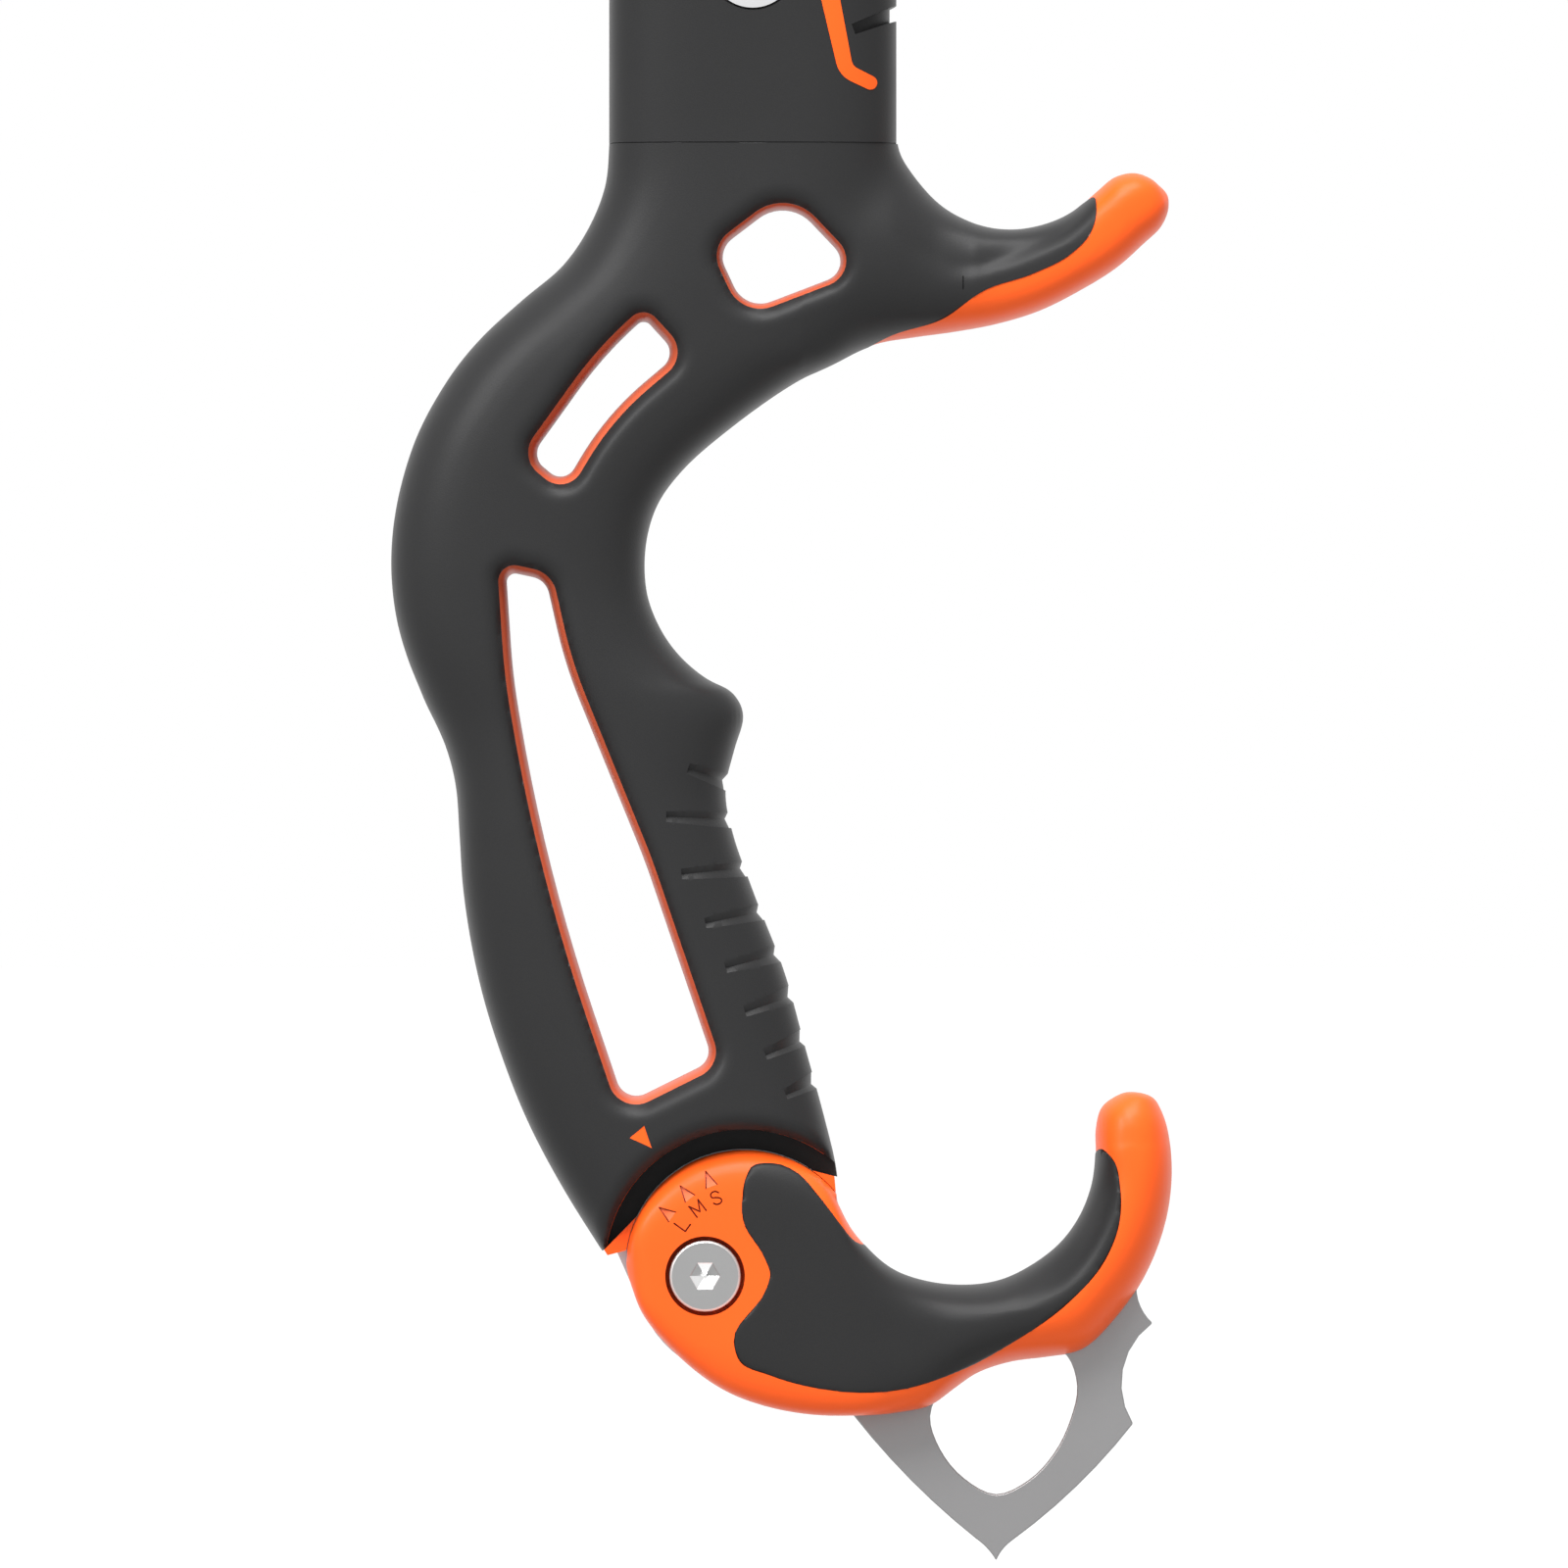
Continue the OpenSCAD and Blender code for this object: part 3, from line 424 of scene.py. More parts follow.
class Bench:
    """Blender's modelling operators, gathered into the few moves that the pieces need."""

    # Points nearer than these, in metres, are one: where a hoop closes, and on a CAD node
    HOOP_WELD = 1e-7
    NODE_WELD = 2e-6
    # Angles in degrees: up to the first, neighbours are one flat face; past the second, an edge is bevelled
    FLAT = 0.5
    SHARP = 40.0
    # How far a smoothing pass moves a point
    RELAX = 0.5
    # Shares of a dome's height at which it has a ring
    DOME = (0.3, 0.55, 0.75, 0.9, 0.98)

    @staticmethod
    def take(*objs: bpy.types.Object) -> None:
        """Selects only these objects, and makes the first the active one.

        Args:
            objs: The objects; none to select nothing.
        """
        if bpy.context.mode != "OBJECT":
            bpy.ops.object.mode_set(mode="OBJECT")
        bpy.ops.object.select_all(action="DESELECT")
        for obj in objs:
            obj.select_set(True)
        bpy.context.view_layer.objects.active = objs[0] if objs else None

    @staticmethod
    def _place(verts: Iterable[bmesh.types.BMVert], ring: np.ndarray) -> None:
        """Puts vertices on a ring given in millimetres."""
        for vert, point in zip(verts, ring):
            vert.co = Vector(point.tolist()) * MM

    @classmethod
    def extrude(cls, name: str, rings: Rings, hoop: bool = False) -> bpy.types.Object:
        """Extrudes a ring of points through further rings.

        Args:
            name: The new object's name.
            rings: Rings of equally many points, in millimetres.
            hoop: Whether the last ring joins the first, with no end faces.

        Returns:
            The new object, a closed shell.
        """
        cls.take()
        fill = "NOTHING" if hoop else "NGON"
        bpy.ops.mesh.primitive_circle_add(
            vertices=len(rings[0]), radius=MM, fill_type=fill, enter_editmode=True
        )
        obj = bpy.context.object
        obj.name = name
        mesh = bmesh.from_edit_mesh(obj.data)
        line = list(mesh.verts)
        cls._place(line, rings[0])
        for ring in rings[1:] + ([rings[0]] if hoop else []):
            rank = {tuple(vert.co): i for i, vert in enumerate(line)}
            bpy.ops.mesh.extrude_region()
            mesh = bmesh.from_edit_mesh(obj.data)
            line = sorted((v for v in mesh.verts if v.select), key=lambda v: rank[tuple(v.co)])
            cls._place(line, ring)
        bmesh.update_edit_mesh(obj.data)
        bpy.ops.mesh.select_all(action="SELECT")
        if hoop:
            bpy.ops.mesh.remove_doubles(threshold=cls.HOOP_WELD)
        bpy.ops.mesh.normals_make_consistent(inside=False)
        bpy.ops.object.mode_set(mode="OBJECT")
        return obj

    @classmethod
    def loft(
        cls, name: str, ribs: Sequence[Sequence[float]], power: float, sides: int, dome: float = 0.0
    ) -> bpy.types.Object:
        """Extrudes a body through ribs.

        Args:
            name: The new object's name.
            ribs: Ribs as (x, z, x, z, half width).
            power: How square the sections are.
            sides: Number of points in each section.
            dome: Height of the dome on the last rib.

        Returns:
            The new object.
        """
        rings = [rib_ring(rib, power, sides) for rib in smooth(ribs, STEPS)]
        if dome:
            end, before = rings[-1], rings[-2]
            centre = end.mean(axis=0)
            out = centre - before.mean(axis=0)
            out /= np.linalg.norm(out)
            for share in cls.DOME:
                shrink = math.sqrt(1 - share**2)
                rings.append(centre + (end - centre) * shrink + out * dome * share)
        return cls.extrude(name, rings)

    @classmethod
    def prism(
        cls, name: str, outline: Sequence[Sequence[float]], start: float = -THROUGH, end: float = THROUGH
    ) -> bpy.types.Object:
        """Extrudes a side outline across the tool.

        Args:
            name: The new object's name.
            outline: Points as (x, z).
            start: One end across the tool.
            end: The other end.

        Returns:
            The new object.
        """
        return cls.extrude(name, [stood(np.asarray(outline, float), y) for y in sorted((start, end))])

    @classmethod
    def turned(
        cls, name: str, centre: Sequence[float], profile: Sequence[tuple[float, float]], sides: int = 96
    ) -> bpy.types.Object:
        """Makes a turned piece on an axis across the tool.

        Args:
            name: The new object's name.
            centre: Its axis as (x, z).
            profile: Stations along the axis as (y, radius).
            sides: Number of points round the axis.

        Returns:
            The new object.
        """
        return cls.extrude(name, [stood(arc(centre, radius, 0, 360, sides)[:-1], y) for y, radius in profile])

    @classmethod
    def join(cls, name: str, objs: Sequence[bpy.types.Object]) -> bpy.types.Object:
        """Joins objects into one, and gives it a name.

        Args:
            name: The joined object's name.
            objs: The objects, which are used up.

        Returns:
            The joined object.
        """
        cls.take(*objs)
        if len(objs) > 1:
            bpy.ops.object.join()
        objs[0].name = name
        return objs[0]

    @classmethod
    def copy(cls, name: str, obj: bpy.types.Object) -> bpy.types.Object:
        """Copies an object with a mesh of its own.

        Args:
            name: The copy's name.
            obj: The object.

        Returns:
            The copy.
        """
        twin = bpy.data.objects.new(name, obj.data.copy())
        bpy.context.scene.collection.objects.link(twin)
        return twin

    @classmethod
    def apply(cls, obj: bpy.types.Object, kind: str, **settings: object) -> None:
        """Adds a modifier with these settings, and applies it.

        Args:
            obj: The object.
            kind: The modifier's type.
            settings: Values of its properties.
        """
        cls.take(obj)
        modifier = obj.modifiers.new(kind.lower(), kind)
        for key, value in settings.items():
            setattr(modifier, key, value)
        bpy.ops.object.modifier_apply(modifier=modifier.name)

    @classmethod
    def boolean(
        cls, obj: bpy.types.Object, tool: bpy.types.Object, cut: Cut, finishes: str = "INDEX"
    ) -> None:
        """Cuts an object with a tool, which is used up.

        Args:
            obj: The object.
            tool: The tool.
            cut: What the tool does.
            finishes: Whether new faces take the object's finish ("INDEX") or the tool's ("TRANSFER").
        """
        cls.apply(
            obj, "BOOLEAN", operation=cut.value, solver="MANIFOLD", object=tool, material_mode=finishes
        )
        bpy.data.objects.remove(tool)

    @classmethod
    def remesh(cls, obj: bpy.types.Object, voxel: float, passes: int) -> None:
        """Remakes an object's surface in even small faces, and evens it out.

        Args:
            obj: The object.
            voxel: Size of the faces in millimetres.
            passes: Number of smoothing passes.
        """
        cls.apply(obj, "REMESH", mode="VOXEL", voxel_size=voxel * MM)
        if passes:
            cls.apply(obj, "SMOOTH", factor=cls.RELAX, iterations=passes)

    @classmethod
    def soften(
        cls, obj: bpy.types.Object, low: tuple[float, float], high: tuple[float, float], passes: int
    ) -> None:
        """Smooths the part of an object that lies between two corners in its side view.

        Args:
            obj: The object.
            low: The lower corner, in millimetres.
            high: The upper corner.
            passes: How often the points are evened out.
        """
        points = np.array([v.co for v in obj.data.vertices])[:, [0, 2]] / MM
        inside = ((points > low) & (points < high)).all(axis=1)
        cls.take(obj)
        obj.data.vertices.foreach_set("select", inside)
        for parts in (obj.data.edges, obj.data.polygons):
            parts.foreach_set("select", [bool(inside[list(part.vertices)].all()) for part in parts])
        bpy.ops.object.mode_set(mode="EDIT")
        bpy.ops.mesh.vertices_smooth(factor=cls.RELAX, repeat=passes)
        bpy.ops.object.mode_set(mode="OBJECT")

    @classmethod
    def bevel(cls, obj: bpy.types.Object, width: float, segments: int = 2) -> None:
        """Rounds an object's sharp edges.

        Args:
            obj: The object.
            width: Width of the rounding in millimetres.
            segments: Number of faces across it.
        """
        cls.apply(
            obj, "BEVEL", width=width * MM, segments=segments, limit_method="ANGLE",
            angle_limit=math.radians(cls.SHARP), use_clamp_overlap=True,
        )

    @classmethod
    def shade(cls, obj: bpy.types.Object, angle: float = 35.0) -> None:
        """Shades an object smooth, with edges sharper than an angle left crisp."""
        cls.take(obj)
        bpy.ops.object.shade_smooth_by_angle(angle=math.radians(angle))

    @classmethod
    def halve(cls, obj: bpy.types.Object, point: Sequence[float], keep: Sequence[float]) -> None:
        """Cuts an object by a plane and closes the cut.

        Args:
            obj: The object.
            point: A point on the plane, in millimetres.
            keep: The direction of the part that stays.
        """
        cls.take(obj)
        bpy.ops.object.mode_set(mode="EDIT")
        bpy.ops.mesh.select_all(action="SELECT")
        bpy.ops.mesh.bisect(
            plane_co=[c * MM for c in point], plane_no=[-c for c in keep], use_fill=True, clear_outer=True
        )
        bpy.ops.object.mode_set(mode="OBJECT")

    @classmethod
    def from_node(cls, name: str, node: bpy.types.Object, bevel: float) -> bpy.types.Object:
        """Copies a CAD node's mesh, merges its triangles and rounds its edges.

        Args:
            name: The new object's name.
            node: The CAD node's object.
            bevel: Width of the rounded edges in millimetres.

        Returns:
            The new object.
        """
        obj = cls.copy(name, node)
        obj.data.materials.clear()
        cls.take(obj)
        bpy.ops.object.mode_set(mode="EDIT")
        bpy.ops.mesh.select_all(action="SELECT")
        bpy.ops.mesh.remove_doubles(threshold=cls.NODE_WELD)
        bpy.ops.mesh.dissolve_limited(angle_limit=math.radians(cls.FLAT))
        bpy.ops.object.mode_set(mode="OBJECT")
        cls.bevel(obj, bevel)
        cls.shade(obj)
        cls.apply(obj, "WEIGHTED_NORMAL", keep_sharp=True)
        return obj

    @staticmethod
    def reshape(obj: bpy.types.Object, rule: Callable[[np.ndarray], np.ndarray]) -> None:
        """Moves an object's points by a rule that works in millimetres.

        Args:
            obj: The object.
            rule: Gives the points' new places.
        """
        points = np.empty(len(obj.data.vertices) * 3, np.float32)
        obj.data.vertices.foreach_get("co", points)
        moved = rule(points.reshape(-1, 3).astype(float) / MM) * MM
        obj.data.vertices.foreach_set("co", moved.astype(np.float32).ravel())
        obj.data.update()


class SideSurface:
    """Finds how far a body's side stands from the middle plane."""

    # A distance in metres from the middle plane, well outside any body
    OUTSIDE = 0.1

    def __init__(self, obj: bpy.types.Object) -> None:
        """Reads an object's surface."""
        self.tree = BVHTree.FromObject(obj, bpy.context.evaluated_depsgraph_get())

    def height(self, x: float, z: float, side: Side = Side.RIGHT) -> float:
        """Measures the surface at a place in the side view.

        Args:
            x: Place forward, in millimetres.
            z: Place upward.
            side: The side that is looked at.

        Returns:
            The surface's distance from the middle plane in millimetres, or 0 beside the body.
        """
        start = Vector((x * MM, side.value * self.OUTSIDE, z * MM))
        hit = self.tree.ray_cast(start, Vector((0, -side.value, 0)))[0]
        return abs(hit.y) / MM if hit else 0.0


# Shaders


class Value:
    """A shader socket that takes part in Python expressions."""

    def __init__(self, shader: Shader, socket: bpy.types.NodeSocket) -> None:
        """Wraps a socket of a shader."""
        self.shader = shader
        self.socket = socket

    def _math(self, operation: str, a: object, b: object) -> Value:
        """Adds a Math node."""
        return self.shader.node("ShaderNodeMath", {"operation": operation}, {0: a, 1: b})

    def __add__(self, other: object) -> Value:
        """Adds."""
        return self._math("ADD", self, other)

    __radd__ = __add__

    def __sub__(self, other: object) -> Value:
        """Takes away."""
        return self._math("SUBTRACT", self, other)

    def __rsub__(self, other: object) -> Value:
        """Takes this value away from another."""
        return self._math("SUBTRACT", other, self)

    def __mul__(self, other: object) -> Value:
        """Multiplies."""
        return self._math("MULTIPLY", self, other)

    __rmul__ = __mul__

    def at_most(self, other: object) -> Value:
        """Gives the smaller of two values."""
        return self._math("MINIMUM", self, other)


class Shader:
    """A material's or the world's nodes."""

    def __init__(self, owner: bpy.types.Material | bpy.types.World) -> None:
        """Clears the owner's nodes.

        Args:
            owner: The material or the world.
        """
        owner.use_nodes = True
        self.owner = owner
        self.tree = owner.node_tree
        self.tree.nodes.clear()

    def node(
        self, kind: str, settings: dict[str, object] | None = None,
        inputs: dict[str | int, object] | None = None, output: str | int = 0,
    ) -> Value:
        """Adds a node.

        Args:
            kind: The node's type.
            settings: Values of its properties.
            inputs: Values or links of its sockets, by name or number.
            output: The socket that is given back.

        Returns:
            The node's output.
        """
        node = self.tree.nodes.new(kind)
        for key, value in (settings or {}).items():
            setattr(node, key, value)
        for key, value in (inputs or {}).items():
            if isinstance(value, Value):
                self.tree.links.new(value.socket, node.inputs[key])
            else:
                node.inputs[key].default_value = value
        return Value(self, node.outputs[output])

    def noise(self, size: float, detail: float = 2.0) -> Value:
        """Gives noise in the piece's own coordinates.

        Args:
            size: Size of its spots in millimetres.
            detail: How much finer detail it has.

        Returns:
            The noise from 0 to 1.
        """
        places = self.node("ShaderNodeTexCoord", output="Object")
        inputs = {"Vector": places, "Scale": 1 / (size * MM), "Detail": detail}
        return self.node("ShaderNodeTexNoise", {"normalize": True}, inputs)

    def blend(self, share: Value, low: Colour, high: Colour) -> Value:
        """Mixes two colours.

        Args:
            share: How much of the second colour there is, from 0 to 1.
            low: The first colour.
            high: The second colour.

        Returns:
            The mixed colour.
        """
        return self.node(
            "ShaderNodeMix", {"data_type": "RGBA"}, {0: share, 6: (*low, 1), 7: (*high, 1)}, output=2
        )

    def bump(self, height: Value, strength: float, depth: float) -> Value:
        """Makes a bumpy normal.

        Args:
            height: The bumps' height.
            strength: How much of the bumps shows.
            depth: Depth of the bumps in millimetres.

        Returns:
            The normal.
        """
        return self.node(
            "ShaderNodeBump", None, {"Strength": strength, "Distance": depth * MM, "Height": height}, "Normal"
        )

    def surface(self, **inputs: object) -> None:
        """Ends the material in a Principled shader with these inputs."""
        named = {key.replace("_", " "): value for key, value in inputs.items()}
        shaded = self.node("ShaderNodeBsdfPrincipled", None, named)
        self.end(shaded)

    def end(self, shaded: Value) -> None:
        """Links a shader to the output."""
        kind = "World" if isinstance(self.owner, bpy.types.World) else "Material"
        node = self.tree.nodes.new(f"ShaderNodeOutput{kind}")
        self.tree.links.new(shaded.socket, node.inputs["Surface"])


@dataclass(frozen=True)
class Rubber:
    """Moulded black rubber with a fine spark-eroded grain."""

    name: str
    dark: Colour = (0.017, 0.017, 0.0174)
    pale: Colour = (0.024, 0.024, 0.0245)
    roughness: float = 0.4
    unevenness: float = 0.12
    shine: float = 0.13
    cloud: float = 14.0
    cloud_share: float = 0.4
    grain: float = 0.16
    grain_depth: float = 0.02
    grain_strength: float = 0.6

    def material(self) -> bpy.types.Material:
        """Builds the material.

        Returns:
            The new material.
        """
        shader = Shader(bpy.data.materials.new(self.name))
        cloud = shader.noise(self.cloud, detail=3.0)
        grain = shader.noise(self.grain, detail=1.5)
        share = cloud * self.cloud_share + grain * (1 - self.cloud_share)
        shader.surface(
            Base_Color=shader.blend(share, self.dark, self.pale),
            Roughness=self.roughness + (cloud - 0.5) * self.unevenness,
            Specular_IOR_Level=self.shine,
            Normal=shader.bump(grain, self.grain_strength, self.grain_depth),
        )
        return shader.owner


@dataclass(frozen=True)
class Plastic:
    """Moulded orange plastic, satin, a little uneven."""

    name: str
    deep: Colour = (0.84, 0.095, 0.010)
    bright: Colour = (0.90, 0.115, 0.014)
    roughness: float = 0.38
    unevenness: float = 0.1
    shine: float = 0.17
    cloud: float = 18.0
    grain: float = 0.2
    grain_depth: float = 0.01
    grain_strength: float = 0.25

    def material(self) -> bpy.types.Material:
        """Builds the material.

        Returns:
            The new material.
        """
        shader = Shader(bpy.data.materials.new(self.name))
        cloud = shader.noise(self.cloud)
        grain = shader.noise(self.grain, detail=1.0)
        shader.surface(
            Base_Color=shader.blend(cloud, self.deep, self.bright),
            Roughness=self.roughness + (grain - 0.5) * self.unevenness,
            Specular_IOR_Level=self.shine,
            Normal=shader.bump(grain, self.grain_strength, self.grain_depth),
        )
        return shader.owner


@dataclass(frozen=True)
class Metal:
    """Bare or blasted metal with a fine even grain."""

    name: str
    dark: Colour
    pale: Colour
    roughness: float
    grain: float
    unevenness: float = 0.14
    cloud: float = 9.0
    grain_depth: float = 0.006
    grain_strength: float = 0.3

    def material(self) -> bpy.types.Material:
        """Builds the material.

        Returns:
            The new material.
        """
        shader = Shader(bpy.data.materials.new(self.name))
        grain = shader.noise(self.grain)
        cloud = shader.noise(self.cloud, detail=3.0)
        shader.surface(
            Base_Color=shader.blend((cloud + grain) * 0.5, self.dark, self.pale),
            Metallic=1.0,
            Roughness=self.roughness + (grain - 0.5) * self.unevenness,
            Normal=shader.bump(grain, self.grain_strength, self.grain_depth),
        )
        return shader.owner


@dataclass(frozen=True)
class Coated:
    """Painted shaft: a fine metallic fleck under a clear coat."""

    name: str
    dark: Colour = (0.030, 0.032, 0.035)
    pale: Colour = (0.075, 0.078, 0.083)
    roughness: float = 0.38
    unevenness: float = 0.1
    metallic: float = 0.35
    coat: float = 0.3
    cloud: float = 30.0
    cloud_share: float = 0.3
    fleck: float = 0.25
    fleck_depth: float = 0.01
    fleck_strength: float = 0.1

    def material(self) -> bpy.types.Material:
        """Builds the material.

        Returns:
            The new material.
        """
        shader = Shader(bpy.data.materials.new(self.name))
        fleck = shader.noise(self.fleck, detail=1.0)
        cloud = shader.noise(self.cloud)
        share = fleck * (1 - self.cloud_share) + cloud * self.cloud_share
        shader.surface(
            Base_Color=shader.blend(share, self.dark, self.pale),
            Metallic=self.metallic,
            Roughness=self.roughness + (cloud - 0.5) * self.unevenness,
            Coat_Weight=self.coat,
            Normal=shader.bump(fleck, self.fleck_strength, self.fleck_depth),
        )
        return shader.owner


class Finish(Enum):
    """The finishes of the tool's pieces."""

    SKIN = Rubber("skin_rubber")
    PAD = Rubber("saddle_rubber", (0.016, 0.016, 0.0163), (0.022, 0.022, 0.0225))
    ORANGE = Plastic("orange_plastic")
    # A duller orange for the window collars, which are the frame's own plastic: painted shade for the recess
    # that they lie in.
    COLLAR = Plastic("collar_plastic", (0.51, 0.100, 0.045), (0.59, 0.118, 0.056))
    # A dark orange for the engraved lines and letters: painted shade in the engravings.
    ENGRAVED = Plastic("engraved_plastic", (0.22, 0.022, 0.006), (0.28, 0.028, 0.008))
    # A darker orange for the arrows' sunken floors: painted shade in the recess.
    ARROW = Plastic("arrow_plastic", (0.72, 0.11, 0.03), (0.78, 0.13, 0.04))
    BLADE = Metal("blade_steel", (0.243, 0.241, 0.243), (0.279, 0.277, 0.279), 0.48, 0.1)
    BRIGHT = Metal("fastener_steel", (0.31, 0.31, 0.31), (0.37, 0.37, 0.37), 0.36, 0.08)
    # A paler copy of the fastener steel for the head's sloping rim: a painted highlight.
    RIM = Metal("turned_steel", (0.55, 0.56, 0.55), (0.63, 0.64, 0.63), 0.42, 0.08)
    # The socket's two steels are lit and shaded copies of one metal: painted shade on some flanks and a
    # painted reflection on the others.
    SHADE = Metal("socket_shade", (0.28, 0.28, 0.28), (0.36, 0.36, 0.36), 0.3, 0.1)
    SOCKET = Metal("socket_steel", (0.75, 0.75, 0.75), (0.85, 0.85, 0.85), 0.16, 0.1)
    RIVET = Metal("rivet_steel", (0.59, 0.59, 0.595), (0.67, 0.67, 0.675), 0.34, 0.08)
    FORGED = Metal("forged_steel", (0.14, 0.14, 0.145), (0.19, 0.19, 0.195), 0.62, 0.3)
    ALLOY = Metal("cast_alloy", (0.50, 0.51, 0.525), (0.58, 0.59, 0.605), 0.4, 0.14)
    CASTING = Metal("head_alloy", (0.33, 0.335, 0.345), (0.40, 0.405, 0.415), 0.56, 0.14)
    SHAFT = Coated("shaft_paint")

    def material(self) -> bpy.types.Material:
        """Gives the finish's material, which is built once."""
        return bpy.data.materials.get(self.value.name) or self.value.material()


def paint(obj: bpy.types.Object, finish: Finish) -> None:
    """Gives a whole object one finish."""
    obj.data.materials.clear()
    obj.data.materials.append(finish.material())


def hand_over(
    obj: bpy.types.Object, body: Body, finish: Finish | None, node: str
) -> None:
    """Dresses a piece and puts it on its body.

    Args:
        obj: The piece.
        body: The body that it rides on.
        finish: Its finish, or None where its faces already have theirs.
        node: The CAD node that it stands for.
    """
    if finish:
        paint(obj, finish)
    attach(obj, body.value)
    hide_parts(node)
    LOG.info("%s: %d faces, stands for %s", obj.name, len(obj.data.polygons), node)


def dress_node(node: bpy.types.Object, finish: Finish) -> None:
    """Gives a CAD node that stays in view a finish."""
    paint(node, finish)
    LOG.info("%s: dressed", node.name)


def node_box(node: str) -> tuple[Vector, Vector, tuple[float, float]]:
    """Measures a CAD node.

    Args:
        node: The node's name.

    Returns:
        Its lowest and highest corner and the middle of its side view, in millimetres.
    """
    low, high = (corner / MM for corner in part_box(node))
    return low, high, ((low.x + high.x) / 2, (low.z + high.z) / 2)


# Sub-assemblies


def groove_tool(
    name: str, runs: Iterable[tuple[np.ndarray, np.ndarray]], width: float, core: bpy.types.Object
) -> bpy.types.Object:
    """Makes the tool that cuts finger grooves to an even depth.

    Args:
        name: The tool's name.
        runs: Front and back point of each groove.
        width: Width of a groove at its front.
        core: A body as deep as the grooves' floor, which is used up.

    Returns:
        The tool.
    """
    bars = []
    for i, (front, back) in enumerate(runs):
        along = (front - back) / np.linalg.norm(front - back)
        across = np.array([-along[1], along[0]])
        outline = [
            front + across * width / 2, back + across * width / 3,
            back - across * width / 3, front - across * width / 2,
        ]
        bars.append(Bench.prism(f"{name}_{i}", outline))
    tool = Bench.join(name, bars)
    Bench.boolean(tool, core, Cut.AWAY)
    return tool


@dataclass
class Shaft:
    """The painted tube from the handle to the head."""

    axis: float = 17.0
    seam: float = 85.0
    depth: float = 30.0
    width: float = 19.0
    straight: float = 112.0
    bend_radius: float = 460.0
    bend_angle: float = 22.0
    power: float = 3.2
    sides: int = 96
    straight_rings: int = 4

    def section(self, grow: float) -> np.ndarray:
        """Draws the tube's section, grown by a distance."""
        return squared(self.power, self.sides) * [self.depth / 2 + grow, self.width / 2 + grow]

    def level(self, z: float, grow: float) -> np.ndarray:
        """Draws a level ring round the axis."""
        q = self.section(grow)
        return np.column_stack([self.axis + q[:, 0], q[:, 1], np.full(len(q), z)])

    def build(self) -> None:
        """Extrudes the tube along its straight run and its bend."""
        top = self.seam + self.straight
        rings = [self.level(z, 0) for z in np.linspace(self.seam, top, self.straight_rings)]
        q = self.section(0)
        for angle in np.radians(np.arange(1, self.bend_angle + 1)):
            reach = self.bend_radius - q[:, 0]
            x = self.axis + self.bend_radius - reach * math.cos(angle)
            rings.append(np.column_stack([x, q[:, 1], top + reach * math.sin(angle)]))
        tube = Bench.extrude("tube_painted", rings)
        Bench.shade(tube)
        hand_over(tube, Body.TOOL, Finish.SHAFT, "shaft_tube")


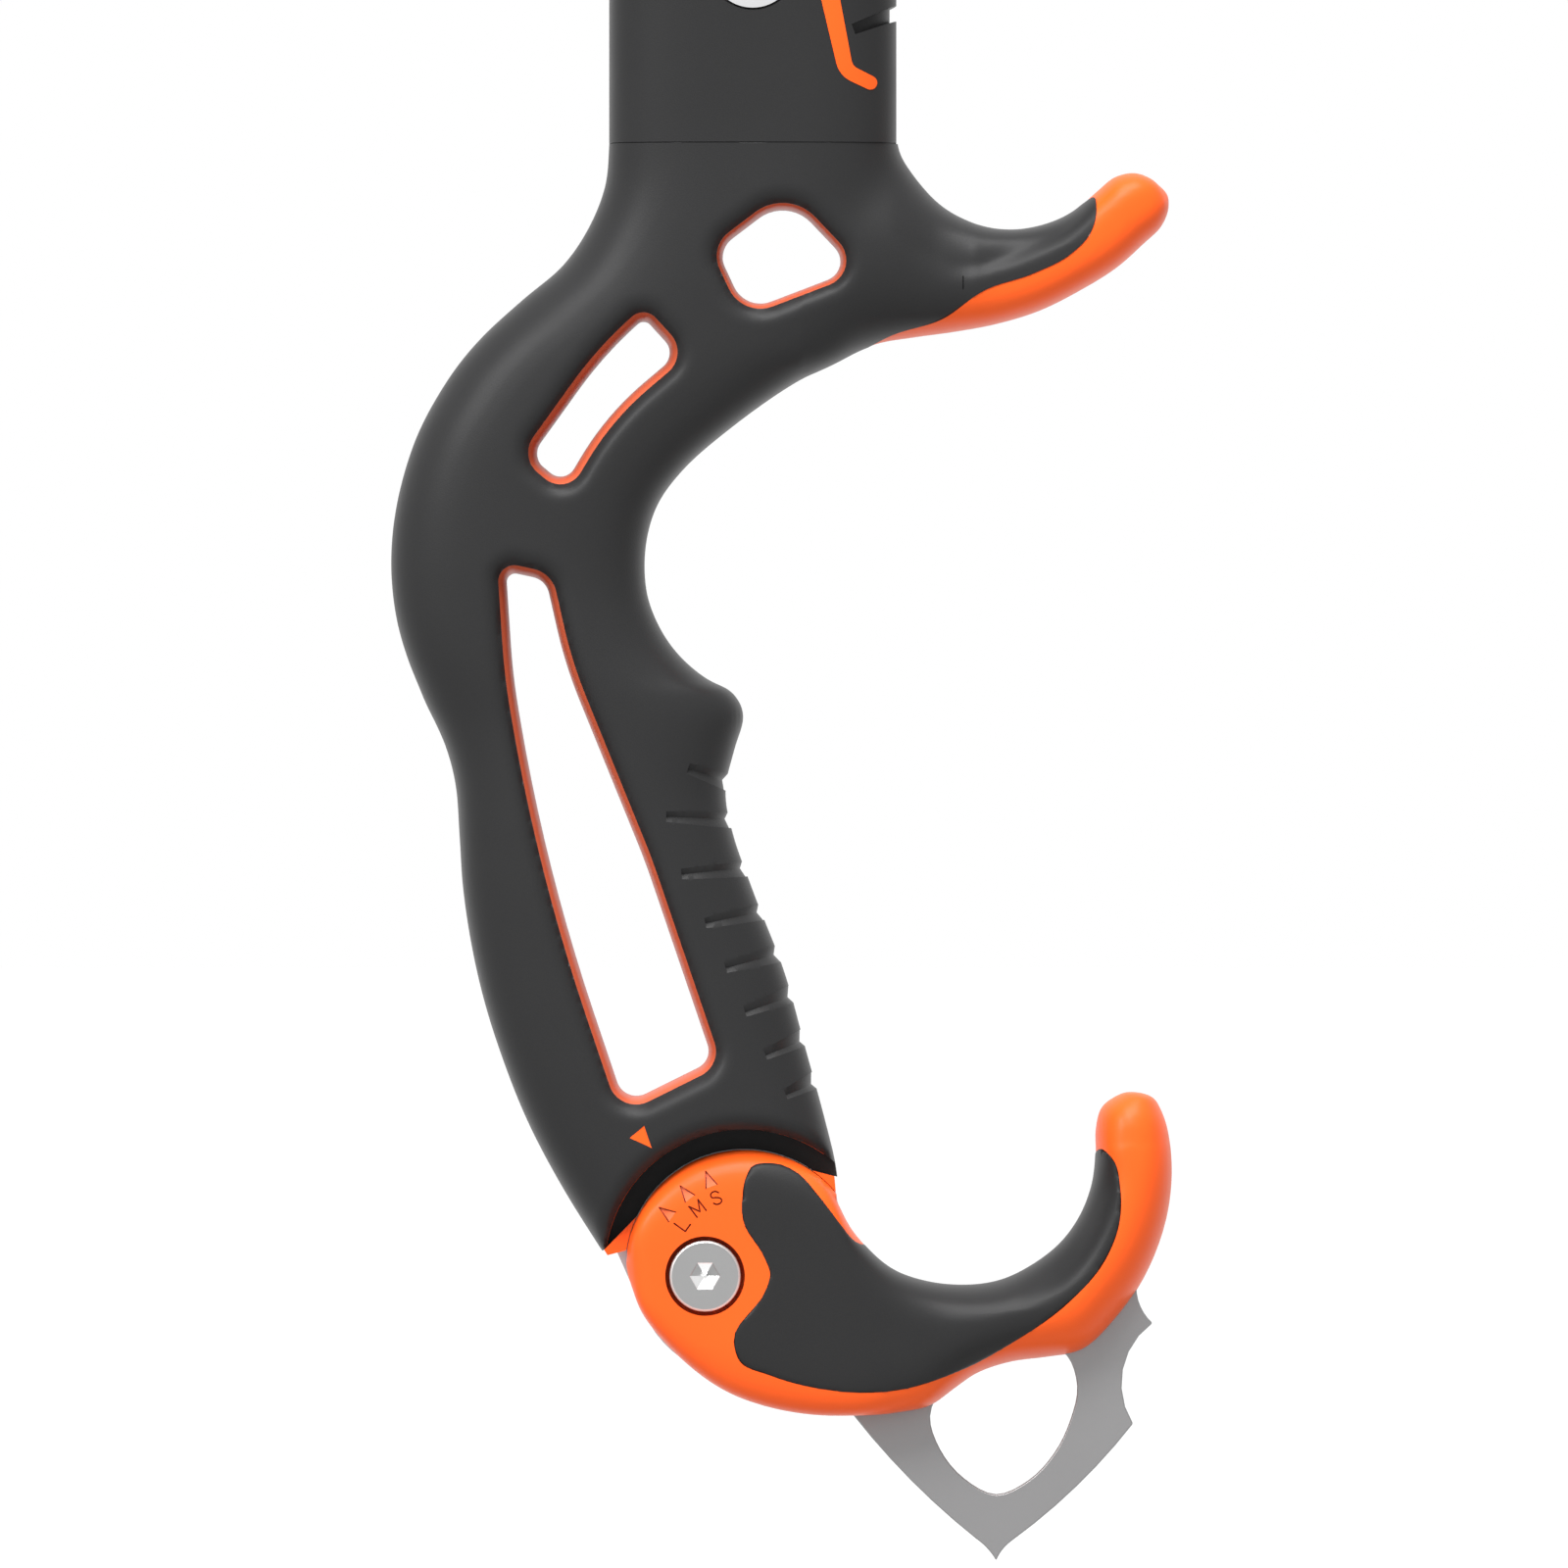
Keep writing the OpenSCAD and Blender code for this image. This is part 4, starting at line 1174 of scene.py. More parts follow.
@dataclass
class UpperGrip:
    """The rubber sleeve above the seam, its stripes and the rivet."""

    shaft: Shaft
    length: float = 96.0
    wall: float = 2.0
    seam_round: float = 0.12
    top_round: float = 1.0
    top_angles: tuple[float, ...] = (30.0, 60.0, 85.0)
    rings: int = 12
    over: float = 1.0
    groove_start: float = 14.5
    groove_pitch: float = 9.0
    groove_count: int = 8
    groove_width: float = 1.9
    groove_depth: float = 0.8
    groove_run: tuple[tuple[float, float], ...] = ((1.5, 1.5), (-5.1, -1.1))
    stripe_width: float = 2.5
    stripe_taper: float = 0.85
    stripe_depth: float = 0.6
    stripe_proud: float = 0.05
    stripe_gap: float = 0.03
    stripe_bend: float = 2.2
    stripe_fade: float = 14.0
    stripe_path: tuple[tuple[float, float], ...] = ((13.9, 7.1), (11.0, 8.5), (7.7, 24.0))
    rivet_gap: float = 0.15
    # Depth below the rivet's crown, and the share of its radius that it has there
    rivet_dome: tuple[tuple[float, float], ...] = (
        (0.0, 0.55), (0.12, 0.82), (0.4, 0.977), (0.7, 1.0), (2.4, 1.0),
    )

    def solid(self, name: str, grow: float, over: float = 0.0) -> bpy.types.Object:
        """Extrudes the sleeve's shape, grown by a distance and run over at both ends.

        Args:
            name: The new object's name.
            grow: How far it is grown.
            over: How far it runs over.

        Returns:
            The new object.
        """
        low, high = self.shaft.seam - over, self.shaft.seam + self.length + over
        rings = [(low, -self.seam_round), (low + self.seam_round, 0.0)]
        rings += [(z, 0.0) for z in np.linspace(low + self.top_round, high - self.top_round, self.rings)]
        for angle in np.radians(self.top_angles):
            fall, inward = self.top_round * (1 - math.sin(angle)), self.top_round * (1 - math.cos(angle))
            rings.append((high - fall, -inward))
        return Bench.extrude(name, [self.shaft.level(z, self.wall + grow + d) for z, d in rings])

    def band(self, name: str, side: Side, width: float) -> bpy.types.Object:
        """Extrudes the stripe's way across one side of the sleeve.

        Args:
            name: The new object's name.
            side: The side that it lies on.
            width: Its width in the middle.

        Returns:
            The new object.
        """
        foot = np.array([self.shaft.axis, self.shaft.seam])
        top = foot + [0, self.length]
        path = [foot + p for p in self.stripe_path]
        path += [top + [x, -z] for x, z in reversed(self.stripe_path[1:])]
        way = np.vstack([rounded_way(np.array(path[:-1]), self.stripe_bend), path[-1:]])
        run = np.concatenate([[0], np.cumsum(np.linalg.norm(np.diff(way, axis=0), axis=1))])
        share = ease(np.minimum(run, run[-1] - run), 0, self.stripe_fade)
        outline = thick_line(way, width - self.stripe_taper * (1 - share))
        return Bench.prism(name, outline, 0.0, side.value * THROUGH)

    def stripe(self, side: Side) -> bpy.types.Object:
        """Makes one stripe as a thin inlay in the sleeve's side.

        Args:
            side: The side that it lies on.

        Returns:
            The stripe.
        """
        inlay = self.band(f"stripe_inlay_{side.name.lower()}", side, self.stripe_width)
        Bench.boolean(inlay, self.solid("outside", self.stripe_proud, self.over), Cut.KEEP)
        Bench.boolean(inlay, self.solid("inside", -self.stripe_depth, 2 * self.over), Cut.AWAY)
        Bench.shade(inlay)
        return inlay

    def build(self) -> None:
        """Builds the sleeve, both stripes and the rivet."""
        sleeve = self.solid("sleeve_rubber", 0.0)
        front = self.shaft.axis + self.shaft.depth / 2 + self.wall
        runs = []
        for i in range(self.groove_count):
            start = np.array([front, self.shaft.seam + self.groove_start + i * self.groove_pitch])
            runs.append((start + self.groove_run[0], start + self.groove_run[1]))
        core = self.solid("groove_floor", -self.groove_depth, 2 * self.over)
        Bench.boolean(sleeve, groove_tool("sleeve_grooves", runs, self.groove_width, core), Cut.AWAY)
        for side in Side:
            band = self.band("stripe_channel", side, self.stripe_width + 2 * self.stripe_gap)
            Bench.boolean(band, self.solid("channel_floor", -self.stripe_depth, 2 * self.over), Cut.AWAY)
            Bench.boolean(sleeve, band, Cut.AWAY)
            hand_over(self.stripe(side), Body.TOOL, Finish.ORANGE, f"stripe_{side.name.lower()}")
        low, high, at = node_box("handle_rivet")
        radius = (high.x - low.x) / 2
        hole = [(y, radius + self.rivet_gap) for y in (-THROUGH, THROUGH)]
        Bench.boolean(sleeve, Bench.turned("rivet_hole", at, hole), Cut.AWAY)
        Bench.shade(sleeve, angle=30)
        hand_over(sleeve, Body.TOOL, Finish.SKIN, "shaft_sleeve")
        dome = [(depth - high.y, radius * share) for depth, share in self.rivet_dome]
        rivet = Bench.turned("rivet_disc", at, dome + [(-y, r) for y, r in reversed(dome)])
        Bench.shade(rivet)
        hand_over(rivet, Body.TOOL, Finish.RIVET, "handle_rivet")


@dataclass
class Handle:
    """The rubber skin of the lower grip and horn, with the orange frame that shows through it."""

    shaft: Shaft
    grip: UpperGrip
    half: float = 12.0
    power: float = 3.2
    body_sides: int = 80
    horn_sides: int = 64
    round_sides: int = 180
    # Sizes of the small faces, and how often they are evened out
    skin_voxel: float = 0.5
    skin_passes: int = 10
    horn_voxel: float = 0.375
    horn_passes: int = 6
    fit_gap: float = 0.02
    hub: tuple[float, float] = (16.0, -48.0)
    room_r: float = 14.12
    moat_r: float = 16.5
    moat_depth: float = 9.0
    # Rolled edges as (width, depth), which start this far from the middle plane
    moat_roll: tuple[float, float] = (2.2, 2.4)
    window_roll: tuple[float, float] = (2.3, 2.1)
    roll_start: tuple[float, float] = (4.0, 8.0)
    # The orange line round the moat: its wall, half width, hold in the skin and distance from the edge
    moat_collar: tuple[float, float, float, float] = (0.07, 3.2, 0.2, 0.8)
    liner_walls: tuple[float, ...] = (0.68, 0.96, 0.9)
    liner_recess: float = 1.3
    liner_sight: float = 0.25
    # Share of a liner's wall, and how far its edge has fallen there
    liner_fall: tuple[tuple[float, float], ...] = (
        (0.0, 0.0), (0.3, 0.3), (0.6, 1.1), (0.85, 2.4), (1.0, 4.5),
    )
    # Finger grooves: sizes at the back and at the front, and points as (across, out, share of the depth)
    groove_widths: tuple[float, float] = (1.4, 2.3)
    groove_depths: tuple[float, float] = (0.42, 0.5)
    groove_deepens: float = 0.6
    groove_longest: float = 14.0
    groove_step: float = 0.02
    groove_rings: int = 16
    groove_section: tuple[tuple[float, float, float], ...] = (
        (0.55, 1.4, 0.0), (0.5, 0.05, 0.0), (-0.05, 0.0, 1.0), (-0.5, 0.05, 0.0), (-0.55, 1.4, 0.0),
    )
    horn_proud: float = 0.12
    horn_dome: float = 0.2
    pointer_gap: float = 0.03
    pointer_depth: float = 1.2
    pointer_sink: float = 0.05
    pointer: tuple[tuple[float, float], ...] = ((2.5, -32.5), (4.2, -31.0), (5.1, -33.7))
    windows: tuple[tuple[tuple[float, float, float], ...], ...] = (
        ((21.1, 79.7, 5.3), (11.9, 72.7, 3.5), (15.8, 64.3, 4.1), (30.4, 69.9, 3.1)),
        (
            (4.2, 65.8, 2), (-1.4, 60.7, 49), (-10.6, 47.9, 3.1), (-5, 43.2, 2.8), (0.4, 52.3, 34),
            (9.5, 60, 3.1),
        ),
        (
            (-13.2, 35.6, 1.9), (-12.3, 21.9, 80), (-8.4, -1.1, 228), (1.3, -29.9, 3.3),
            (13.4, -23.9, 3.2), (5.1, 0.5, 88), (-4.3, 23.6, 54), (-6.7, 34.2, 3.5),
        ),
    )
    grooves: tuple[tuple[tuple[float, float], tuple[float, float]], ...] = (
        ((14.8, 9.4), (9.4, 11.2)), ((15.4, 5.2), (6.8, 5.5)), ((17.2, -0.4), (8.6, -1.3)),
        ((19.4, -5.4), (11.4, -7.1)), ((21.3, -10.3), (13.8, -12.4)), ((22.9, -15.2), (16.1, -17.6)),
        ((24.4, -20.3), (18.5, -22.7)), ((25.8, -25.3), (20.9, -27.4)),
    )
    lip_half: float = 6.6
    lip_inset: float = 0.35
    foot_cuts: tuple[tuple[tuple[float, float], ...], ...] = (
        ((-4, -49.2), (-0.6, -45.8), (4.2, -40.9), (8, -50)),
        ((20, -35.3), (24.1, -36.4), (32, -38.5), (32, -46), (20, -46)),
    )
    horn_edge: tuple[tuple[float, float], ...] = (
        (29.6, 60.4), (33.4, 62.3), (39.4, 64.2), (44.4, 67.6), (50.2, 69.6), (54.6, 71.9),
        (56.9, 74.4), (57.6, 77.2), (57.4, 78.6), (55.4, 77.6), (50, 80),
    )
    horn_room: tuple[tuple[float, float], ...] = ((60, 90), (74, 84), (74, 66), (52, 50), (27, 50))
    horn_crease: tuple[tuple[float, float], ...] = (
        (33, 75.4), (36, 73.7), (38.6, 72.2), (41, 71.0), (43.5, 70.8), (46, 71.4), (49.1, 72.7),
        (52.6, 74.5), (55.1, 76.3), (57.1, 78.1),
    )
    horn_root: tuple[tuple[float, float], tuple[float, float]] = ((23.0, 58.0), (43.0, 88.0))
    root_passes: int = 60
    # The crease's widths below and above it, first at the horn's root and then along the horn
    horn_crease_widths: tuple[tuple[float, float], tuple[float, float]] = ((2.2, 6.0), (1.1, 2.4))
    horn_crease_turn: tuple[float, float] = (38.0, 46.0)
    horn_crease_depth: float = 0.85
    # How far the crease takes to set in, and where it fades before and behind its end
    horn_crease_fade: tuple[float, float, float] = (6.0, 4.0, 1.0)
    parting: tuple[float, float, float, float] = (41.78, 67.7, 41.94, 69.3)
    parting_depth: float = 0.35

    @property
    def ribs(self) -> list[list[float]]:
        """The handle's ribs from the seam down.

        Returns:
            Each rib's back point, front point and half width.
        """
        seam, half = self.shaft.seam, self.half
        reach, neck = self.shaft.depth / 2 + self.grip.wall, self.shaft.width / 2 + self.grip.wall
        back, front = self.shaft.axis - reach, self.shaft.axis + reach
        return [
            [back, seam + 8, front, seam + 8, neck],
            [back, seam, front, seam, neck],
            [-0.6, 79.5, 34, 77, neck + 0.2],
            [-5.3, 70.8, 32.5, 66, half],
            [-10.2, 66.6, 28.5, 60, half],
            [-15, 62.2, 22.6, 57.1, half],
            [-19.8, 56, 14.4, 51.4, half],
            [-23.2, 49.3, 8.6, 46.3, half],
            [-25.2, 42, 5.4, 41.6, half],
            [-25.8, 35, 4.2, 35.6, half],
            [-25.3, 29.6, 4.8, 30.6, half],
            [-23.8, 24, 8.2, 24.6, half],
            [-22.6, 21, 11.6, 21.7, half],
            [-21.6, 18.6, 14.6, 20.1, half],
            [-20.6, 16.6, 15.9, 17.8, half],
            [-19.3, 13.6, 14.9, 13.6, half],
            [-18.2, 9.4, 13.8, 9, half],
            [-17.7, 3, 14.6, 3.6, half],
            [-17.3, -3, 16.9, -3, half],
            [-15.3, -14.4, 20.9, -13.4, half],
            [-12.9, -22.4, 23.2, -21.8, half],
            [-9, -32, 25.6, -30.6, half],
            [-5.2, -39, 26.8, -35.6, half],
            [-0.5, -46.5, 27.2, -39.2, half],
        ]

    @property
    def horn_ribs(self) -> list[list[float]]:
        """The horn's ribs from inside the handle out.

        Returns:
            Each rib's lower point, upper point, half width and squareness.
        """
        return [
            [19, 61, 25, 80, 11, 2.4],
            [27.4, 59.6, 34.1, 83.9, 11.2, 2.1],
            [31.5, 61.2, 36.1, 81.3, 11.1, 2.1],
            [36, 62, 39.2, 77.8, 10.5, 2.3],
            [41, 62.7, 43.6, 75.5, 9.9, 2.7],
            [45.8, 63.6, 47.4, 74.9, 9.4, 3.0],
            [51, 65.2, 51.4, 75.5, 9.2, 3.0],
            [55.8, 67.6, 54.8, 77, 9, 3.0],
            [60.4, 70.5, 57.8, 79.6, 8.6, 3.0],
            [63.4, 73.2, 60, 81.3, 8.2, 3.0],
            [65.3, 75, 62.2, 81.7, 7.4, 3.0],
            [66.2, 76.9, 64.1, 81, 6, 3.0],
            [66.3, 78.3, 65.3, 79.9, 3.6, 3.0],
        ]

    def window(self, index: int, distance: float = 0.0) -> Outline:
        """Draws a window's outline, moved inwards by a distance."""
        return inset(rounded(self.windows[index]), distance)

    def horn_prism(self, name: str, over: float) -> bpy.types.Object:
        """Makes the tool that parts the horn's bare tip from its rubber."""
        outline = np.vstack([smooth(self.horn_edge, 8), self.horn_room])
        return Bench.prism(name, inset(outline, over))

    def bare_horn(self) -> bpy.types.Object:
        """Lofts the horn as it is under the rubber, with its soft saddle.

        Returns:
            The horn.
        """
        ribs = drawn_in(self.horn_ribs, self.horn_proud)
        horn = Bench.loft("bare_horn", ribs, self.power, self.horn_sides, self.horn_dome)
        Bench.remesh(horn, self.horn_voxel, self.horn_passes)
        Bench.reshape(horn, self.saddle)
        return horn

    def saddle(self, points: np.ndarray) -> np.ndarray:
        """Draws the horn's sides in along a crease under its upper edge.

        Args:
            points: The horn's points.

        Returns:
            The moved points.
        """
        crease = smooth(self.horn_crease, STEPS)
        away = beside(points[:, [0, 2]], crease)
        first, last = crease[0, 0], crease[-1, 0]
        set_in, before, behind = self.horn_crease_fade
        reach = ease(points[:, 0], first, first + set_in)
        reach *= 1 - ease(points[:, 0], last - before, last + behind)
        share = ease(points[:, 0], *self.horn_crease_turn)
        root, along = self.horn_crease_widths
        below, above = (r + (a - r) * share for r, a in zip(root, along))
        dip = np.exp(-((away / np.where(away > 0, above, below)) ** 2))
        return pressed_in(points, self.horn_crease_depth * dip * reach)

    def rolls(self, points: np.ndarray) -> np.ndarray:
        """Rolls the skin's sides down towards the windows and the knuckle's moat.

        Args:
            points: The skin's points.

        Returns:
            The moved points.
        """
        side = points[:, [0, 2]]
        width, depth = self.window_roll
        drop = np.zeros(len(points))
        for i in range(len(self.windows)):
            away = distance_to(side, self.window(i), True)
            drop = np.maximum(drop, depth * fillet(away / width))
        width, depth = self.moat_roll
        away = np.linalg.norm(side - self.hub, axis=1) - self.moat_r
        drop = np.maximum(drop, depth * fillet(away / width))
        return pressed_in(points, drop * ease(np.abs(points[:, 1]), *self.roll_start))

    def build_skin(self) -> SideSurface:
        """Models the rubber skin.

        Returns:
            The skin's side surface before the windows are cut.
        """
        body = Bench.loft("body", self.ribs, self.power, self.body_sides)
        horn = Bench.loft("horn", self.horn_ribs, self.power, self.horn_sides)
        skin = Bench.join("grip_rubber", [body, horn])
        Bench.remesh(skin, self.skin_voxel, self.skin_passes)
        Bench.soften(skin, *self.horn_root, self.root_passes)
        Bench.reshape(skin, self.saddle)
        Bench.reshape(skin, self.rolls)
        surface = SideSurface(skin)
        cuts = [Bench.prism(f"window_{i}", self.window(i)) for i in range(len(self.windows))]
        cuts.append(self.horn_prism("horn_tip", 0.0))
        hole, floor = inset(np.array(self.pointer), -self.pointer_gap), self.half - self.pointer_depth
        cuts += [Bench.prism("pointer_hole", hole, side.value * floor, side.value * THROUGH) for side in Side]
        Bench.boolean(skin, Bench.join("openings", cuts), Cut.AWAY)
        floor = self.half - self.moat_depth
        near = [(-THROUGH, self.moat_r), (-floor, self.moat_r), (-floor, self.room_r)]
        profile = near + [(-y, r) for y, r in reversed(near)]
        Bench.boolean(skin, Bench.turned("knuckle_room", self.hub, profile, self.round_sides), Cut.AWAY)
        feet = [Bench.prism(f"foot_{i}", foot) for i, foot in enumerate(self.foot_cuts)]
        Bench.boolean(skin, Bench.join("feet", feet), Cut.AWAY)
        x0, z0, x1, z1 = self.parting
        mark = [(x0, z0), (x1, z0), (x1, z1), (x0, z1)]
        floor = surface.height(x0, z0) - self.parting_depth
        grooves = [self.groove(i, surface) for i in range(len(self.grooves))]
        grooves += [Bench.prism("parting", mark, side.value * floor, side.value * THROUGH) for side in Side]
        Bench.boolean(skin, Bench.join("grip_grooves", grooves), Cut.AWAY)
        Bench.halve(skin, (0, 0, self.shaft.seam), (0, 0, -1))
        Bench.shade(skin, angle=32)
        hand_over(skin, Body.TOOL, Finish.SKIN, "grip_skin")
        return surface

    def drum(self, name: str, radius: float, reach: float) -> bpy.types.Object:
        """Makes a drum on the pommel's axis, out to a reach on both sides."""
        return Bench.turned(name, self.hub, ((-reach, radius), (reach, radius)), self.round_sides)

    def groove(self, index: int, surface: SideSurface) -> bpy.types.Object:
        """Makes the tool that cuts a finger groove round the front of the handle.

        Args:
            index: The groove's number.
            surface: The skin's side surface.

        Returns:
            The tool, swept along the skin from one side round to the other.
        """
        front, back = (np.array(end) for end in self.grooves[index])
        along = (front - back) / np.linalg.norm(front - back)
        across = np.array([-along[1], along[0]])
        steps = np.arange(0, self.groove_longest, self.groove_step)
        reach = max(step for step in steps if surface.height(*(back + along * step)) > 0)
        run = reach * np.sin(np.linspace(0, np.pi / 2, self.groove_rings))
        height = np.array([surface.height(*(back + along * step)) for step in run])
        path = np.vstack([np.column_stack([run, -height]), np.column_stack([run, height])[::-1]])
        way = np.gradient(path, axis=0)
        way /= np.linalg.norm(way, axis=1, keepdims=True)
        out = np.column_stack([way[:, 1], -way[:, 0]])
        share = path[:, 0] / reach
        width = np.interp(share, (0, 1), self.groove_widths)
        depth = np.interp(ease(share, self.groove_deepens, 1.0), (0, 1), self.groove_depths)
        rings = []
        for point, normal, wide, deep in zip(path, out, width, depth):
            places = [point + normal * (rise - sunk * deep) for _, rise, sunk in self.groove_section]
            sides = [
                back + along * place[0] + across * aside * wide
                for place, (aside, *_) in zip(places, self.groove_section)
            ]
            rings.append(stood(np.array(sides), np.array(places)[:, 1]))
        return Bench.extrude(f"groove_{index}", rings)

    def liner(self, index: int, surface: SideSurface) -> bpy.types.Object:
        """Makes the collar that lines a window, just below the skin's lip.

        Args:
            index: The window's number.
            surface: The skin's side surface.

        Returns:
            The collar.
        """
        edge = self.window(index, -self.liner_sight)
        lip = np.array([surface.height(x, z) for x, z in edge]) - self.liner_recess
        wall = self.liner_walls[index]
        rings = [stood(self.window(index, wall * share), fall - lip) for share, fall in self.liner_fall]
        rings += [ring * [1, -1, 1] for ring in reversed(rings)]
        return Bench.extrude(f"collar_{index}", rings, hoop=True)

    def build_frame(self, surface: SideSurface) -> None:
        """Models what shows of the orange frame.

        Args:
            surface: The skin's side surface.
        """
        tip = self.bare_horn()
        Bench.boolean(tip, self.horn_prism("tip_room", self.fit_gap), Cut.KEEP)
        pieces = [tip]
        ribs = smooth(drawn_in(self.ribs, self.lip_inset), STEPS)
        outline = np.vstack([ribs[:, :2], ribs[::-1, 2:4]])
        for i, foot in enumerate(self.foot_cuts):
            zone = inset(np.array(foot, float), self.fit_gap)
            lip = Bench.prism(f"lip_{i}", zone, -self.lip_half, self.lip_half)
            Bench.boolean(lip, Bench.prism("outline", outline), Cut.KEEP)
            Bench.boolean(lip, self.drum("room", self.room_r, THROUGH), Cut.AWAY)
            pieces.append(lip)
        wall, reach, hold, edge = self.moat_collar
        collar = self.drum("moat_collar", self.moat_r + hold, reach)
        Bench.boolean(collar, self.drum("inside", self.moat_r - wall, THROUGH), Cut.AWAY)
        Bench.boolean(collar, Bench.prism("outline", inset(outline, edge)), Cut.KEEP)
        for foot in self.foot_cuts:
            Bench.boolean(collar, Bench.prism("foot", foot), Cut.AWAY)
        pieces.append(collar)
        top = surface.height(*np.mean(self.pointer, axis=0)) - self.pointer_sink
        floor = self.half - self.pointer_depth - 2 * self.pointer_sink
        pieces += [
            Bench.prism("pointer", self.pointer, side.value * top, side.value * floor) for side in Side
        ]
        liners = [self.liner(i, surface) for i in range(len(self.windows))]
        for piece in pieces:
            paint(piece, Finish.ORANGE)
        for liner in liners:
            # The collars take the duller orange, painted shade of their recess.
            paint(liner, Finish.COLLAR)
        frame = Bench.join("frame_plastic", pieces + liners)
        Bench.shade(frame)
        hand_over(frame, Body.TOOL, None, "handle_frame")

    def build(self, nodes: dict[str, bpy.types.Object]) -> None:
        """Builds the skin and the frame, and dresses the core plate.

        Args:
            nodes: The CAD nodes by name.
        """
        surface = self.build_skin()
        self.build_frame(surface)
        dress_node(nodes["handle_core"], Finish.ALLOY)


@dataclass
class Pommel:
    """The turning pommel: two orange shells, the rubber saddle, spike, bolt and nut."""

    hub: tuple[float, float] = (16.0, -48.0)
    knuckle_r: float = 14.0
    half: float = 11.0
    power: float = 7.0
    sides: int = 72
    # Sizes of the small faces, and how often they are evened out
    body_voxel: float = 0.42
    body_passes: int = 4
    pad_voxel: float = 0.357
    pad_passes: int = 3
    # The round drum that faces the handle: its edge as (fall, inward), and the angles that it spans
    drum_r: float = 14.04
    drum_half: float = 8.4
    drum_turn: tuple[float, float] = (38.0, 172.0)
    drum_edge: tuple[tuple[float, float], ...] = ((0.0, 0.6), (0.6, 0.15), (1.2, 0.0))
    hook_dome: float = 0.5
    hook_tip: tuple[tuple[float, float], ...] = ((40.0, 14.5), (52.0, 23.0))
    tip_passes: int = 14
    pad_wall: float = 1.4
    pad_proud: float = 0.12
    pad_gap: float = 0.06
    bed_gap: float = 0.05
    half_gap: float = 0.02
    # The slot of the core plate's lug: open as far as its mouth over these angles, round elsewhere
    lug_r: float = 13.4
    lug_half: float = 2.9
    lug_mouth_r: float = 27.0
    lug_turn: tuple[float, float] = (41.0, 223.0)
    round_steps: int = 48
    mark_angles: tuple[float, ...] = (144.0, 127.5, 111.5)
    mark_letters: str = "LMS"
    apex_r: float = 12.4
    base_r: float = 10.5
    base_half: float = 0.7
    letter_r: float = 9.05
    letter_h: float = 1.6
    stroke: float = 0.19
    engrave_depth: float = 0.3
    # Depth of an arrow's floor at its point and at its two base corners
    arrow_depths: tuple[float, float, float] = (0.45, 0.02, 0.02)
    arrow_stroke: float = 0.152
    graver_clear: float = 1.5
    spike_edge: float = 0.22
    counterbore_r: float = 4.7
    bolt_hole_r: float = 2.6
    head_r: float = 4.25
    head_h: float = 3.0
    # The head's rounded rim, with its steps down and inwards in widths of the rim
    rim: float = 0.32
    rim_steps: tuple[tuple[float, float], ...] = ((1.0, 0.0), (0.3, 0.25), (0.0, 1.0))
    face_share: float = 0.7
    # A face slopes where its normal's part across the tool lies between these
    slope_limits: tuple[float, float] = (0.1, 0.95)
    # The socket, with the depths and shares of its radius down its wall
    socket_r: float = 1.68
    socket_sides: int = 6
    socket_depths: tuple[tuple[float, float], ...] = (
        (-0.5, 1.08), (0.0, 1.08), (0.1, 1.0), (1.0, 1.0), (1.7, 0.04),
    )
    pad_outline: tuple[tuple[float, float], ...] = (
        (0.2, 11), (0.9, 12.2), (2.8, 12.6), (4.9, 12.2), (6.6, 11.2), (8.6, 9), (10.2, 6.95),
        (11.6, 5.1), (13.1, 3.3), (16, 2.6), (26, 2), (36, 6), (40.4, 12), (42.2, 14.2), (43.6, 13),
        (44.5, 9.5), (44.3, 5), (42.7, 1), (38.4, -4), (32, -8.6), (25, -12.3), (18, -14.4), (9, -14.2),
        (3, -12.6), (-0.6, -10.9), (-1.3, -8.6), (2.6, -2.2), (3, -0.6), (2.4, 1.2), (-0.2, 5.8), (-0.3, 8),
    )
    crease: tuple[tuple[float, float], ...] = (
        (43.1, 12.6), (42.5, 9.8), (41.5, 7.0), (40.3, 4.4), (38.6, 1.6), (35.7, -1.0), (32.4, -2.6),
    )
    crease_depth: float = 0.75
    crease_width: float = 1.5
    # Where the crease fades: before and behind its last point along X, and about its first up Z
    crease_fade: tuple[float, float] = (-4.0, 8.0)
    crease_top: tuple[float, float] = (-4.0, 1.0)
    letters: dict[str, tuple[tuple[tuple[float, float], ...], ...]] = field(default_factory=lambda: {
        "L": (
            ((-0.3, 0.5), (-0.3, -0.5)), ((-0.3, -0.5), (0.34, -0.5)),
        ),
        "M": (
            ((-0.42, -0.5), (-0.42, 0.5)), ((-0.42, 0.5), (0.0, -0.3)), ((0.0, -0.3), (0.42, 0.5)),
            ((0.42, 0.5), (0.42, -0.5)),
        ),
        "S": ((
            (0.3, 0.3), (0.14, 0.46), (-0.12, 0.48), (-0.3, 0.34), (-0.28, 0.14), (0.0, 0.02),
            (0.28, -0.14), (0.32, -0.34), (0.12, -0.48), (-0.14, -0.46), (-0.32, -0.3),
        ),),
    })

    @property
    def ribs(self) -> list[list[float]]:
        """The pommel's ribs, from its back round to the hook's tip.

        Returns:
            Each rib's outer point, inner point, half width and squareness.
        """
        half = self.half

        def knuckle(angle: float, outer: tuple[float, float], width: float) -> list[float]:
            """Gives a rib that ends on the round knuckle."""
            a = math.radians(angle)
            return [*outer, self.knuckle_r * math.cos(a), self.knuckle_r * math.sin(a), width, self.power]

